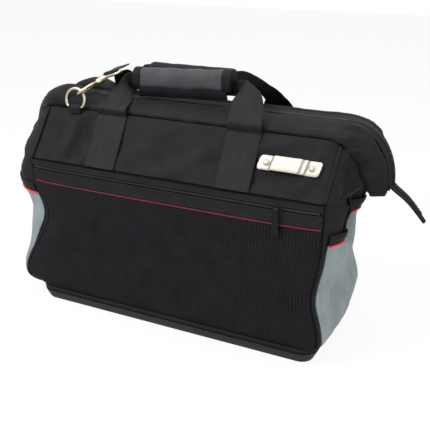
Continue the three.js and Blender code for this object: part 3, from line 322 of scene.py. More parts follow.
def crumple(p, size, seed=0.0):
    """Soft random folds about this many millimetres apart, from -1 to 1."""
    return noise.fractal(Vector(p) / size + Vector((seed, seed, 0)), 0.9, 2.0, 3)


# %% Mesh helpers
# Points nearer to each other than MERGE become one, and a line's length is measured in PATH_STEPS parts
MERGE, PATH_STEPS = 0.005, 24


def alone(piece):
    bpy.ops.object.select_all(action="DESELECT")
    piece.select_set(True)
    bpy.context.view_layer.objects.active = piece


def modify(piece, kind, **settings):
    alone(piece)
    modifier = piece.modifiers.new(kind.lower(), kind)
    for name, value in settings.items():
        setattr(modifier, name, value)
    bpy.ops.object.modifier_apply(modifier=modifier.name)


def edit(piece, *steps):
    alone(piece)
    bpy.ops.object.mode_set(mode="EDIT")
    bpy.ops.mesh.select_all(action="SELECT")
    for operator, settings in steps:
        operator(**settings)
    bpy.ops.object.mode_set(mode="OBJECT")


def soften(piece, angle=38):
    alone(piece)
    bpy.ops.object.shade_smooth_by_angle(angle=math.radians(angle))


def path_length(points):
    return sum((b - a).length for a, b in zip(points, points[1:]))


def lay(name, surface, columns, rows, material, thickness=0.0, outward=None, ripple=None, wrap=False):
    """A grid moved onto surface(u, v): a closed skin with wrap, else cloth with its thickness inwards.

    outward(p) says roughly which way the outer face looks, and ripple(u, v, p) lifts that face.
    """
    bpy.ops.object.select_all(action="DESELECT")
    bpy.ops.mesh.primitive_grid_add(x_subdivisions=columns, y_subdivisions=rows, size=2)
    piece = bpy.context.object
    piece.name = piece.data.name = name
    mesh = piece.data
    spots = [((v.co.x + 1) / 2, (v.co.y + 1) / 2) for v in mesh.vertices]
    for vertex, (u, v) in zip(mesh.vertices, spots):
        vertex.co = surface(u, v) * MM
    steps = heights(0, 1, PATH_STEPS)
    wide = path_length([surface(t, 0.5) for t in steps])
    high = path_length([surface(0.0 if wrap else 0.5, t) for t in steps])
    layer = mesh.uv_layers.active.data
    for loop in mesh.loops:
        u, v = spots[loop.vertex_index]
        layer[loop.index].uv = (u * wide * MM, v * high * MM)
    if outward or wrap:
        mesh.update()
        middle = sum((p.center for p in mesh.polygons), Vector()) / len(mesh.polygons)
        facing = sum(
            p.normal.dot(Vector(outward(p.center / MM)) if outward else p.center - middle) * p.area
            for p in mesh.polygons)
        if facing < 0:
            mesh.flip_normals()
    if ripple:
        mesh.update()
        normals = [v.normal.copy() for v in mesh.vertices]
        for vertex, normal, (u, v) in zip(mesh.vertices, normals, spots):
            vertex.co += normal * (ripple(u, v, vertex.co / MM) * MM)
    mesh.materials.clear()
    mesh.materials.append(material)
    if wrap:
        edit(piece, (bpy.ops.mesh.remove_doubles, {"threshold": MERGE * MM}))
    if thickness:
        modify(piece, "SOLIDIFY", thickness=thickness * MM, offset=-1)
    elif wrap:
        edit(piece, (bpy.ops.mesh.fill_holes, {"sides": 0}),
             (bpy.ops.mesh.normals_make_consistent, {"inside": False}))
    soften(piece)
    return piece


def lay_tube(name, points, radius, material, cyclic=False, sides=3):
    """Round cord along points, from a curve with a round bevel that is turned into a mesh."""
    curve = bpy.data.curves.new(name, "CURVE")
    curve.dimensions = "3D"
    curve.bevel_depth = radius * MM
    curve.bevel_resolution = sides
    curve.use_fill_caps = True
    spline = curve.splines.new("POLY")
    spline.points.add(len(points) - 1)
    for spot, point in zip(spline.points, points):
        spot.co = (*(point * MM), 1)
    spline.use_cyclic_u = cyclic
    piece = bpy.data.objects.new(name, curve)
    bpy.context.scene.collection.objects.link(piece)
    alone(piece)
    bpy.ops.object.convert(target="MESH")
    piece = bpy.context.object
    piece.data.name = name
    piece.data.materials.clear()
    piece.data.materials.append(material)
    edit(piece, (bpy.ops.mesh.remove_doubles, {"threshold": MERGE * MM}),
         (bpy.ops.mesh.normals_make_consistent, {"inside": False}))
    soften(piece, 60)
    return piece


# %% Smooth line through stations, and webbing along it
def spline_point(points, t):
    """Centripetal Catmull-Rom line, the same one that the CAD model draws its webbing on."""
    place = clamp(t) * (len(points) - 1)
    k = min(int(place), len(points) - 2)
    w = place - k
    p1, p2 = points[k], points[k + 1]
    p0 = points[k - 1] if k else p1 * 2 - p2
    p3 = points[k + 2] if k + 2 < len(points) else p2 * 2 - p1
    d0, d1, d2 = (max((b - a).length, 1e-6) ** 0.5 for a, b in ((p0, p1), (p1, p2), (p2, p3)))
    m1 = ((p1 - p0) / d0 - (p2 - p0) / (d0 + d1) + (p2 - p1) / d1) * d1
    m2 = ((p2 - p1) / d1 - (p3 - p1) / (d1 + d2) + (p3 - p2) / d2) * d1
    return (p1 * (2 * w**3 - 3 * w**2 + 1) + m1 * (w**3 - 2 * w**2 + w)
            + p2 * (3 * w**2 - 2 * w**3) + m2 * (w**3 - w**2))


def strap_frame(stations, t):
    """Centre, width direction, flat side's direction and half width of a strap at t.

    A station is a place, the direction of the width there and the width.
    """
    points = [s[0] for s in stations]
    place = clamp(t) * (len(stations) - 1)
    k = min(int(place), len(stations) - 2)
    part = place - k
    step = 1e-4
    tangent = (spline_point(points, min(1, t + step)) - spline_point(points, max(0, t - step))).normalized()
    across = stations[k][1].lerp(stations[k + 1][1], part)
    across = (across - tangent * across.dot(tangent)).normalized()
    half = lerp(stations[k][2], stations[k + 1][2], part) / 2
    return spline_point(points, t), across, tangent.cross(across), half


def rounded(value, power):
    return math.copysign(abs(value) ** power, value)


def lay_strap(name, stations, thickness, material, rows=120, part=(0, 1), ripple=None):
    def surface(u, v):
        centre, across, normal, half = strap_frame(stations, lerp(*part, v))
        angle = 2 * math.pi * u
        return (centre + across * half * rounded(math.cos(angle), 0.3)
                + normal * (thickness / 2) * rounded(math.sin(angle), 0.5))

    return lay(name, surface, 28, rows, material, wrap=True, ripple=ripple)


def belongs(piece, slot, body=None, *nodes):
    """The piece's material slot, which is not used, the body it rides on and the CAD nodes it stands for."""
    if body:
        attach(piece, body)
    if nodes:
        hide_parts(*nodes)


# %% [markdown]
# ## Outline of the bag
# Empty and set down, the bag sags: the left end bellies out low down, and each end has a waist half way
# up. edge_x and panel_point follow the curves of the CAD model. end_point does too, but in place of the
# solid's plain gusset fold end_fold gives what the photograph shows: the left end flares out, and the
# right one is crushed. rear_pinch draws in the right end's far corner.

# %% Outline functions
HALF_LENGTH, HALF_DEPTH, SHOULDER, BODY_BOTTOM = 213, 94, 213, 21.6
# How far each end bellies out, with the belly's height and spread
BULGE, BULGE_Z, BULGE_SPREAD = {"left": 22, "right": 4}, 40, 35
# Depth and height of each end's waist, and its spread
WAIST, WAIST_SPREAD = {"left": (24, 138), "right": (9, 90)}, 38
# How far the middle of each end bows out
END_CROWN = {"left": 16, "right": 5}
SIGN = {"left": -1, "right": 1}
# Gap between a panel's edge and the corner seam
INSET = 2.9
PIVOT_X, PIVOT_Z = 250, 213
# Above this height the ends change from the body's outline to the reach of the pivots
REACH_START = 184
# Height in which the cloth turns in to the tray
TUCK_HEIGHT = 11
# Height and reach of the left end's two flares, and how far the right end stands out and is crushed
FLARES = ((172, 54), (118, 36))
RIGHT_LIP, RIGHT_CRUSH = 13, 42


def edge_x(side, z):
    depth, height = WAIST[side]
    belly = BULGE[side] * bump(z, BULGE_Z, BULGE_SPREAD)
    return HALF_LENGTH + belly - depth * bump(z, height, WAIST_SPREAD)


def over_tray(x, y):
    """Nearest place over the tray's rim, whose corners are round."""
    half_x, half_y, radius = 211, 98, 15
    core = Vector((clamp(x, radius - half_x, half_x - radius), clamp(y, radius - half_y, half_y - radius)))
    away = Vector((x, y)) - core
    if away.length > radius:
        away *= radius / away.length
    return core + away


def tuck(p):
    """Low down the cloth turns in under itself to meet the tray."""
    t = clamp((p.z - BODY_BOTTOM) / TUCK_HEIGHT)
    if t >= 1:
        return p
    rim = over_tray(p.x, p.y)
    share = math.sin(t * math.pi / 2) ** 0.7
    return Vector((lerp(rim.x, p.x, share), lerp(rim.y, p.y, share), p.z))


def panel_point(u, z, offset=0.0, inset=INSET):
    x = lerp(-edge_x("left", z) + inset, edge_x("right", z) - inset, u)
    rise = (z - BODY_BOTTOM) / (SHOULDER - BODY_BOTTOM)
    return Vector((x, -HALF_DEPTH - 2 * arch(u) * arch(rise) - offset, z))


def gusset_reach(z):
    """How far the ends' tops reach out to the sleeve, less the rivet's head and the cloth."""
    reach = PIVOT_X - 2.1 - edge_x("right", SHOULDER) - 4.8
    return reach * smooth((z - REACH_START) / (PIVOT_Z - REACH_START))


def left_flare(z):
    (high, high_reach), (low, low_reach) = FLARES
    return high_reach * bump(z, high, 38 if z < high else 60) + low_reach * bump(z, low, 34)


def rear_pinch(z):
    """The far corner of the right end is drawn in half way up and at the foot."""
    return 16 * bump(z, 152, 50) + 8 * bump(z, 22, 20)


def end_fold(side, t, z):
    """The left end flares out. The right one stands out at both corners and is crushed between."""
    bow = arch(t)
    if side == "left":
        return left_flare(z) * bow**0.4 * (1 - 0.95 * smooth((z - 180) / 28) * bow**3)
    corner = bump(min(t, 1 - t), 0.14, 0.1)
    return (RIGHT_LIP * corner * smooth((z - 150) / 30) - RIGHT_CRUSH * bump(z, 182, 26) * bow**4
            - rear_pinch(z) * smooth((t - 0.45) / 0.55))


def end_point(side, u, z, offset=0.0, inset=INSET):
    y = lerp(-HALF_DEPTH + inset, HALF_DEPTH - inset, u)
    t = (y / HALF_DEPTH + 1) / 2
    bow = arch(t)
    low = 1 - smooth((z - REACH_START) / (SHOULDER - REACH_START))
    x = (edge_x(side, z) + END_CROWN[side] * math.sqrt(bow) * low
         + gusset_reach(z) * bow**1.5 + end_fold(side, t, z))
    return Vector((SIGN[side] * (x + offset), y, z))


def rear(p):
    return Vector((p.x, -p.y, p.z))


# The two halves of the mouth: name, how a front point gets there, and the side of Y
ENDS = (("front", lambda p: p, -1), ("rear", rear, 1))


# %% [markdown]
# ## Tray and welt
# The tray is one shallow moulding with round corners and a lip. One skin follows its wall from the foot
# up over the lip and down again inside. A thick black welt tape runs round its rim under the cloth.

# %% Tray
def rim_loop(half_x, half_y, radius, z, steps=10):
    loop = []
    for corner in range(4):
        sx = 1 if corner in (0, 3) else -1
        sy = 1 if corner < 2 else -1
        for i in range(steps + 1):
            angle = (corner + i / steps) * math.pi / 2
            loop.append(Vector((sx * (half_x - radius) + radius * math.cos(angle),
                                sy * (half_y - radius) + radius * math.sin(angle), z)))
    return loop


# Half length, half depth and corner radius of the rim
TRAY_X, TRAY_Y, TRAY_CORNER = 212, 101, 23
# Height and radius of the welt's cord, which lies flush with the rim
WELT_Z, WELT_RADIUS = 18.3, 3.0
# How far in from the rim, and how high, the tray's wall runs: foot, side, lip, inner wall, floor
TRAY_WALL = [(70, 0), (8.6, 0), (7.0, 0.5), (6.0, 2.0), (3.0, 8.0), (0.3, 14.0), (0.7, 14.8), (1.8, 15.0),
             (2.8, 14.6), (3.2, 13.6), (6.5, 4.0), (7.6, 3.3), (70, 3.3)]
tray_rings = [rim_loop(TRAY_X - inset, TRAY_Y - inset, max(1, TRAY_CORNER - inset), z)
              for inset, z in TRAY_WALL]


def tray_point(u, v):
    ring = tray_rings[round(v * (len(tray_rings) - 1))]
    return ring[round(u * len(ring)) % len(ring)]


tray = lay("moulded_tray", tray_point, len(tray_rings[0]), len(tray_rings) - 1, tray_plastic, wrap=True)
belongs(tray, "moulded_tray", "bag", "base_tray")
print("tray faces:", len(tray.data.polygons))

# %% Welt round the rim
welt_line = rim_loop(TRAY_X - WELT_RADIUS, TRAY_Y - WELT_RADIUS, TRAY_CORNER - WELT_RADIUS, WELT_Z)
welt = lay_tube("tray_welt_tape", welt_line, WELT_RADIUS, binding, cyclic=True, sides=4)
belongs(welt, "black_binding", "bag", "tray_welt")
print("welt faces:", len(welt.data.polygons))

# %% [markdown]
# ## The body shell
# One lofted shell goes all round the bag, from the tray to the shoulder. It bellies and folds as the
# empty bag does, and the corner pipings cover its four upright edges.

# %% Body shell
# Share of the way round that each long side takes
FRONT_SHARE = 0.34


def shell_point(u, v):
    z = lerp(BODY_BOTTOM, SHOULDER - 0.3, v)
    half = u % 0.5
    if half < FRONT_SHARE:
        p = panel_point(half / FRONT_SHARE, z, inset=0)
        if u >= 0.5:
            p = rear(panel_point(1 - half / FRONT_SHARE, z, inset=0))
            p.x -= rear_pinch(z) * smooth((p.x - 140) / 70)
    else:
        t = (half - FRONT_SHARE) / (0.5 - FRONT_SHARE)
        z -= 7 * v * arch(t) ** 0.3
        p = end_point("right", t, z, inset=0) if u < 0.5 else end_point("left", 1 - t, z, inset=0)
    return tuck(p)


def shell_ripple(u, v, p):
    return 0.9 * crumple(p, 46, 3.0) * arch(v) ** 0.5 * arch(2 * (u % 0.5)) ** 0.3


shell = lay("body_shell", lambda u, v: shell_point(u % 1.0, v), 200, 64, polyester, thickness=1.8,
            outward=lambda p: (p.x * 0.3, p.y, 0), ripple=shell_ripple, wrap=True)
belongs(shell, "black_polyester", "bag", "front_panel", "rear_panel", "left_end_panel", "right_end_panel")
print("shell faces:", len(shell.data.polygons))

# %% [markdown]
# ## Corner pipings
# A cord in a folded tape is sewn into each of the four upright corner seams, from the tray to the
# shoulder. The rear one at the right follows the corner as it is drawn in.

# %% Corner pipings
# Radii of the cords at the corners, at the upper panels' ends and in the second row
CORNER_CORD, UPPER_CORD, THIN_CORD = 2.4, 2.2, 1.7


def corner_line(side, depth):
    pinch = 1 if side == "right" and depth > 0 else 0
    return [tuck(Vector((SIGN[side] * edge_x(side, z) - pinch * rear_pinch(z), depth * HALF_DEPTH, z)))
            for z in heights(23, 212.6, 60)]


for side in ("left", "right"):
    for end, depth in (("front", -1), ("rear", 1)):
        piping = lay_tube(f"{end}_{side}_corner_piping", corner_line(side, depth), CORNER_CORD, binding)
        belongs(piping, "black_binding", "bag", f"{end}_{side}_piping")

# %% [markdown]
# ## Front mesh pocket
# A knitted mesh hangs between the side seams, under a band and a header of polyester that hold the
# zip. The mesh stands a little off the bag. A red cord, painted darker as shade under the band, marks its
# top, and the zip's tape is black.

# %% Pocket surfaces
def pocket_point(u, z, offset=0.0):
    height = (z - BODY_BOTTOM) / (SHOULDER - BODY_BOTTOM)
    edge = abs(2 * u - 1)
    belly = 7 * (1 - edge**6) * arch(height**0.8)
    stand = 3 * (1 - edge**12)
    return panel_point(u, z, 2.3 + stand + belly + offset)


def pocket_part(name, low, high, rows, material, thickness, ripple, offset=0.0):
    return lay(name, lambda u, v: tuck(pocket_point(u, lerp(low, high, v), offset)), 130, rows, material,
               thickness=thickness, outward=lambda p: (0, -1, 0), ripple=ripple)


# Height of the zip, half the gap that its coil fills, half the tape's width, and the band's lower edge
ZIP_Z, ZIP_GAP, TAPE_HALF, BAND_LOW = 203, 2.4, 4.5, 184.5


def mesh_ripple(u, v, p):
    slack = crumple(p, 60, 1.0) * 1.5 + crumple(p, 24, 5.0) * 0.5
    corner = 2.0 * bump(p.x, 170, 40) * bump(p.z, 70, 30) * crumple(p, 30, 9.0)
    return (slack + corner) * arch(u) ** 0.3 * arch(v) ** 0.4


mesh_pocket = pocket_part("mesh_pocket", BODY_BOTTOM, BAND_LOW - 0.6, 60, mesh_cloth, 1.2, mesh_ripple)
belongs(mesh_pocket, "black_mesh", "bag", "pocket_mesh")


def band_ripple(u, v, p):
    hems = 0.5 * (bump(v, 0.12, 0.06) + bump(v, 0.88, 0.06))
    return hems + 0.5 * crumple(p, 50, 2.0)


for name, low, high, rows in (("pocket_zip_band", BAND_LOW, ZIP_Z - ZIP_GAP, 18),
                              ("pocket_zip_header", ZIP_Z + ZIP_GAP, SHOULDER - 0.7, 10)):
    piece = pocket_part(f"{name}_cloth", low, high, rows, polyester, 1.8, band_ripple)
    belongs(piece, "black_polyester", "bag", name)

# %% Red cord, zip tape and coil of the pocket
# The pocket's red cord takes the darker red, which is painted shade under the band
red_points = [pocket_point(u, BAND_LOW - 0.8, 0.6) for u in heights(0.003, 0.997, 80)]
belongs(lay_tube("pocket_red_piping", red_points, 1.0, red_piping_painted_shade), "black_binding", "bag")
zip_tape = pocket_part("pocket_zip_tape", ZIP_Z - TAPE_HALF, ZIP_Z + TAPE_HALF, 4, binding, 0.8, None,
                       offset=-1.9)
belongs(zip_tape, "black_binding", "bag")


def beads(name, line, radius, pitch, material):
    """A zip coil: a cord that swells once for every turn of the real coil."""
    length = path_length([line(t) for t in heights(0, 1, 60)])
    turns = int(length / pitch)

    def surface(u, v):
        step = 0.5 / (turns * 4)
        tangent = (line(min(1, v + step)) - line(max(0, v - step))).normalized()
        side = tangent.cross(Vector((0, -1, 0.3))).normalized()
        lift = side.cross(tangent)
        reach = radius * (1 + 0.28 * math.sin(2 * math.pi * v * turns))
        angle = 2 * math.pi * u
        return line(v) + side * reach * math.cos(angle) + lift * reach * 0.8 * math.sin(angle)

    return lay(name, surface, 8, turns * 4, material, wrap=True)


pocket_coil = beads("pocket_zip_coil", lambda t: pocket_point(lerp(0.01, 0.99, t), ZIP_Z, -0.9),
                    1.5, 3.0, coil_nylon)
belongs(pocket_coil, "zip_metal", "bag")
print("pocket faces:", len(mesh_pocket.data.polygons), "coil faces:", len(pocket_coil.data.polygons))

# %% [markdown]
# ## End pockets
# Each end has a loose grey pocket with a black elastic band along its top and a red cord under the band.
# The left one is sewn right into its corner seams, where its rows of points are closest. The right one
# is crushed by the way the bag stands, so a crease runs down it from the middle.

# %% End pockets, bands and cords
# Height of the cord, and of the band above it
POCKET_TOP, END_BAND = 163, 14
SKIN_GAP = 2.4


def end_pocket_point(side, u, z, offset=0.0):
    if side == "right":
        swell, inset = 1 + 10 * bump(z, 150, 36), INSET
    else:
        u = (1 - math.cos(math.pi * u)) / 2
        swell, inset = 4 + 12 * bump(z, 60, 45), 0.2
    return end_point(side, u, z, SKIN_GAP + swell * arch(u) ** 0.7 + offset, inset)


def pocket_ripple(u, v, p):
    folds = 1.7 * crumple(p, 42, 4.0) + 0.6 * crumple(p, 17, 8.0)
    fold = 4.5 * ridge((p.y, p.z), (-40, 148), (-66, 76), 7) * (p.x > 0)
    dent = -2.5 * ridge((p.y, p.z), (-60, 120), (-82, 84), 6) * (p.x > 0)
    return (folds + fold + dent) * arch(u) ** 0.35 * arch(v) ** 0.4


for side in ("left", "right"):
    pocket = lay(f"{side}_pocket_cloth",
                 lambda u, v: tuck(end_pocket_point(side, u, lerp(BODY_BOTTOM, POCKET_TOP, v))),
                 60, 60, grey_cloth, thickness=1.6, outward=lambda p: (SIGN[side], 0, 0),
                 ripple=pocket_ripple)
    belongs(pocket, "grey_polyester", "bag", f"{side}_end_pocket")
    elastic = lay(f"{side}_pocket_elastic",
                  lambda u, v: end_pocket_point(side, u, lerp(POCKET_TOP + 0.3, POCKET_TOP + END_BAND, v)),
                  60, 10, binding, thickness=1.8, outward=lambda p: (SIGN[side], 0, 0),
                  ripple=lambda u, v, p: 0.5 * crumple(p, 14, 6.0) + 0.5 * bump(v, 0.5, 0.2))
    belongs(elastic, "black_binding", "bag", f"{side}_pocket_band")
    cord = lay_tube(f"{side}_pocket_red_piping",
                    [end_pocket_point(side, u, POCKET_TOP - 0.6, 0.7) for u in heights(0.005, 0.995, 60)],
                    1.5, red_piping)
    belongs(cord, "black_binding", "bag")

# %% [markdown]
# ## Mouth sleeves
# Along the mouth each side has a stiff wire in a cloth sleeve, bent down at both ends to a pivot. The
# sleeve is a flat padded tube that is skinned along the wire's line, with a stitched edge on each side.

# %% Rim line of the mouth
# The sleeve's inner edge joins the shoulder panel and its outer edge carries the zip. Each has half the
# length of its flat run, and then its legs' X and Y at the pivots and the flat run's Y and Z.
FLAT_HALF = {"inner": 196, "outer": 204}
LEG_X = {"inner": 238, "outer": 263}
LEG_Y = {"inner": 24, "outer": 10}
RIM_Y = {"inner": -54, "outer": -17}
RIM_Z = {"inner": 281.5, "outer": 294.5}
LEG_BOTTOM = 223


def rim_edge(kind, s):
    """A point of one edge, from the left pivot at -1 over the middle at 0 to the right pivot at 1."""
    side, distance = (-1 if s < 0 else 1), abs(s)
    flat, y, z = FLAT_HALF[kind], RIM_Y[kind], RIM_Z[kind]
    if distance <= 0.5:
        return Vector((side * flat * distance * 2, y, z))
    foot = Vector((LEG_X[kind], -LEG_Y[kind], LEG_BOTTOM))
    knee_x = lerp(LEG_X["inner"], flat, 0.25) if kind == "inner" else LEG_X["outer"]
    knee = Vector((knee_x, lerp(foot.y, y, 0.35), LEG_BOTTOM + (z - LEG_BOTTOM) * 0.5))
    shoulder = Vector((lerp(flat, LEG_X[kind], 0.5 if kind == "inner" else 0.62), y, z))
    t = (1 - distance) * 2
    p = (foot * (1 - t) ** 3 + knee * 3 * t * (1 - t) ** 2 + shoulder * 3 * t * t * (1 - t)
         + Vector((flat, y, z)) * t**3)
    return Vector((side * p.x, p.y, p.z))


def rim_frame(s):
    """Middle, direction across, half width, normal and tangent of the sleeve at s."""
    inner, outer = rim_edge("inner", s), rim_edge("outer", s)
    low, high = max(-1, s - 1e-3), min(1, s + 1e-3)
    middle = [(rim_edge("inner", t) + rim_edge("outer", t)) / 2 for t in (low, high)]
    across = (outer - inner).normalized()
    tangent = (middle[1] - middle[0]).normalized()
    normal = tangent.cross(across).normalized()
    return (inner + outer) / 2, across, (outer - inner).length / 2, normal, tangent


# %% Sleeves
# Each foot takes this share of the sleeve and hangs this far below the rim line's end
LEG_SHARE, LEG_DROP = 0.035, 15
SLEEVE_THICK = 6


def sleeve_point(u, v):
    over = max(0, LEG_SHARE - v, v - (1 - LEG_SHARE)) / LEG_SHARE
    s = clamp(lerp(-1, 1, (v - LEG_SHARE) / (1 - 2 * LEG_SHARE)), -1, 1)
    centre, across, half, normal, tangent = rim_frame(s)
    centre = centre + tangent * (math.copysign(over * LEG_DROP, s) if over else 0)
    angle = 2 * math.pi * u
    half *= 1 - 0.3 * over**2
    thick = SLEEVE_THICK * (1 - 0.35 * over**2)
    return (centre + across * half * rounded(math.cos(angle), 0.85)
            + normal * thick * rounded(math.sin(angle), 0.75))


def sleeve_ripple(u, v, p):
    seam = sum(bump(u, place, 0.012) for place in (0.09, 0.41, 0.59, 0.91))
    knee = bump(abs(p.x), 232, 26)
    folds = 1.3 * crumple(p, 34, 7.0) + knee * 3.0 * crumple((p.x * 0.4, p.y, p.z * 2.0), 22, 2.0)
    puff = 15 * bump(p.x, -184, 32) * arch(2 * u) if u < 0.5 else 0
    return folds + puff - 0.7 * seam


for end, flip, _ in ENDS:
    sleeve = lay(f"{end}_mouth_sleeve_cloth", lambda u, v: flip(sleeve_point(u, v)), 48, 220, polyester,
                 ripple=sleeve_ripple, wrap=True)
    belongs(sleeve, "black_polyester", f"mouth_{end}", f"{end}_mouth_sleeve")
print("sleeve faces:", len(sleeve.data.polygons))

# %% [markdown]
# ## Mouth zip
# A woven tape with half of a nylon coil runs along each sleeve, all round the mouth. Past the right end
# the two tapes go on together as a folded tail that hangs free.

# %% Zip tapes, coils and tail
COIL_PITCH = 3.2


def tape_frame(s):
    """Start of the tape at the sleeve, its place between the two sleeves, and its outer side."""
    _, across, _, normal, _ = rim_frame(s)
    start = rim_edge("outer", s) + across * 0.6
    outward = Vector((normal.x, 0, normal.z)).normalized()
    if outward.z < 0 and abs(s) < 0.6:
        outward = -outward
    proud = lerp(-3, 3, smooth((abs(s) - 0.5) / 0.25))
    return start, Vector((start.x, -0.75, start.z)) + outward * proud, outward


def tape_point(u, v):
    start, middle, outward = tape_frame(lerp(-1, 1, v))
    edge = Vector((middle.x, -3.75, middle.z))
    section = [start - outward * 0.7, edge - outward * 1.3, middle - outward * 1.3,
               middle + outward * 1.3, edge + outward * 0.9, start + outward * 0.7]
    place = (u % 1) * 6
    k = int(place) % 6
    return section[k].lerp(section[(k + 1) % 6], place - int(place))


def coil_line(t):
    _, middle, outward = tape_frame(lerp(-0.995, 0.995, t))
    return Vector((middle.x, -2.2, middle.z)) + outward * 1.5


for end, flip, _ in ENDS:
    tape = lay(f"{end}_zip_tape_cloth", lambda u, v: flip(tape_point(u, v)), 24, 180, binding, wrap=True)
    belongs(tape, "black_binding", f"mouth_{end}", f"{end}_zip_tape")
    coil = beads(f"{end}_zip_coil", lambda t: flip(coil_line(t)), 1.35, COIL_PITCH, coil_nylon)
    belongs(coil, "zip_metal", f"mouth_{end}")

tail_root = rim_edge("outer", 1)
tail_from = Vector((tail_root.x + 3, 0, tail_root.z - 2.3))
tail_to = tail_from + Vector((44, 0, -42))
flat_y = Vector((0, 1, 0))
tail_stations = [
    (tail_from + Vector((-7, 0, 12)), flat_y, 24),
    (tail_from, flat_y, 23),
    (tail_from.lerp(tail_to, 0.45) + Vector((2, 0, 2)), flat_y, 18),
    (tail_to, flat_y, 8),
]
tail = lay_strap("zip_tail_tape", tail_stations, 3.4, binding, rows=40)
belongs(tail, "black_binding", "mouth_front", "mouth_zip_tail")
tail_line = [s[0] for s in tail_stations]
for name, shift in (("zip_tail_left_coil", -1.7), ("zip_tail_right_coil", 1.7)):
    coil = beads(name, lambda t: spline_point(tail_line, lerp(0.08, 0.9, t)) + Vector((1.6, shift, 1.4)),
                 1.3, COIL_PITCH, coil_nylon)
    belongs(coil, "zip_metal", "mouth_front")
print("zip tail:", [round(c) for c in tail_to])

# %% [markdown]
# ## Upper panels and gussets
# Between the shoulder and each sleeve lies a sloping panel, and beside it a folded gusset. Each piece is
# baked where it is laid and rides on no body.

# %% Upper panels
# How far along the rim line the panel's top seam reaches on each side
TOP_SHARE = {"left": 0.58, "right": 0.65}


def upper_panel_point(u, v):
    x = lerp(INSET - edge_x("left", SHOULDER), edge_x("right", SHOULDER) - INSET, u)
    low = Vector((x, -HALF_DEPTH, SHOULDER + 1.4))
    high = rim_edge("inner", lerp(-TOP_SHARE["left"], TOP_SHARE["right"], u)) + Vector((0, -1.2, -1.5))
    return low.lerp(high, v)


def panel_blend(piece, end):
    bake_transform(piece)


# Folds as two (x, z) places, width and height. A negative height is a dent.
UPPER_FOLDS = [
    ((-152, 270), (-160, 226), 7, 5.0), ((-137, 268), (-146, 220), 6, -5.0),
    ((-178, 262), (-188, 226), 7, 3.5), ((-124, 252), (-126, 220), 5, 4.0),
    ((62, 262), (8, 224), 14, 4.0), ((152, 272), (114, 262), 7, 2.5), ((192, 262), (176, 222), 8, 4.0),
    ((150, 236), (112, 224), 7, -3.2), ((-20, 258), (-60, 228), 12, 3.2),
    ((30, 250), (-10, 230), 9, -2.5), ((0, 272), (-40, 262), 8, 2.0),
]
# Middle of the clip plate, which is riveted over flat cloth
PLATE_X, PLATE_Z = 159, 248


def upper_ripple(u, v, p):
    folds = 1.8 * crumple(p, 62, 11.0) + 0.8 * crumple(p, 25, 13.0)
    lines = sum(height * ridge((p.x, p.z), start, end, width)
                for start, end, width, height in UPPER_FOLDS)
    flat = 1 - bump(p.x, PLATE_X, 44) * bump(p.z, PLATE_Z, 12)
    sag = -2.2 * arch(u) * arch(v)
    return (folds * arch(u) ** 0.3 + lines + sag) * arch(v) ** 0.5 * flat


for end, flip, s in ENDS:
    panel = lay(f"{end}_upper_cloth", lambda u, v: flip(upper_panel_point(u, v)), 110, 34, polyester,
                thickness=1.6, outward=lambda p: (0, s, 0.6), ripple=upper_ripple)
    panel_blend(panel, end)
    belongs(panel, "black_polyester", None, f"{end}_upper_panel")
    for side, edge in (("left", 0.0), ("right", 1.0)):
        line = [flip(upper_panel_point(edge, v) + Vector((0, -1.0, 0.9))) for v in heights(0.0, 0.99, 30)]
        piping = lay_tube(f"{end}_{side}_upper_piping", line, UPPER_CORD, binding)
        panel_blend(piping, end)
        belongs(piping, "black_binding")

# %% Gussets
# Share of each gusset's height that lies inside the body's end
GUSSET_FOOT = 0.22


def gusset_top(side, u, v):
    edge = upper_panel_point(0 if side == "left" else 1, v * 0.97) + Vector((SIGN[side] * 1.0, 0, 0))
    s = lerp(1, TOP_SHARE[side] + 0.03, v) * SIGN[side]
    leg = rim_edge("inner", s) + rim_frame(s)[1] * 2.5
    if side == "left":
        out = 25 * arch(u) ** 0.45 * (1 - v) ** 0.8
    else:
        out = 13 * bump(u, 0.36, 0.24) * (1 - v) ** 0.3 - 20 * arch(u) ** 3 * (1 - v) ** 0.7
    return edge.lerp(leg, u) + Vector((SIGN[side] * out, 0, 0))


def gusset_point(side, u, v):
    """Low down the gusset starts inside the top edge of the body's end."""
    if v >= GUSSET_FOOT:
        return gusset_top(side, u, (v - GUSSET_FOOT) / (1 - GUSSET_FOOT))
    foot = end_point(side, u * 0.37, 206 - 3 * arch(u * 0.37) ** 0.3, -1.2)
    return foot.lerp(gusset_top(side, u, 0), v / GUSSET_FOOT)


def gusset_ripple(u, v, p):
    return (2.2 * crumple(p, 34, 15.0) + 1.0 * crumple(p, 14, 4.0)) * arch(u) ** 0.5 * arch(v) ** 0.4


def gusset_blend(piece, end):
    """Bakes the piece's place into its mesh."""
    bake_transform(piece)


for side in ("left", "right"):
    for end, flip, s in ENDS:
        gusset = lay(f"{end}_{side}_gusset_cloth", lambda u, v: flip(gusset_point(side, u, v)), 40, 44,
                     polyester, thickness=1.4, outward=lambda p: (SIGN[side], 0.8 * s, 0),
                     ripple=gusset_ripple)
        gusset_blend(gusset, end)
        belongs(gusset, "black_polyester", None, f"{end}_{side}_gusset")

# %% Second row of piping, which shows at the right end only
SECOND_ROW = {"front": 0.133, "rear": 0.867}
for end, flip, s in ENDS:
    line = [flip(gusset_point("right", 0.36, v) + Vector((1.2, -0.8, 0))) for v in heights(0.2, 0.98, 40)]
    cord = lay_tube(f"{end}_gusset_piping", line, THIN_CORD, binding)
    gusset_blend(cord, end)
    belongs(cord, "black_binding")
    line = [end_point("right", SECOND_ROW[end], z, 1.4) for z in heights(165, 208, 16)]
    belongs(lay_tube(f"{end}_end_piping", line, THIN_CORD, binding), "black_binding", "bag")
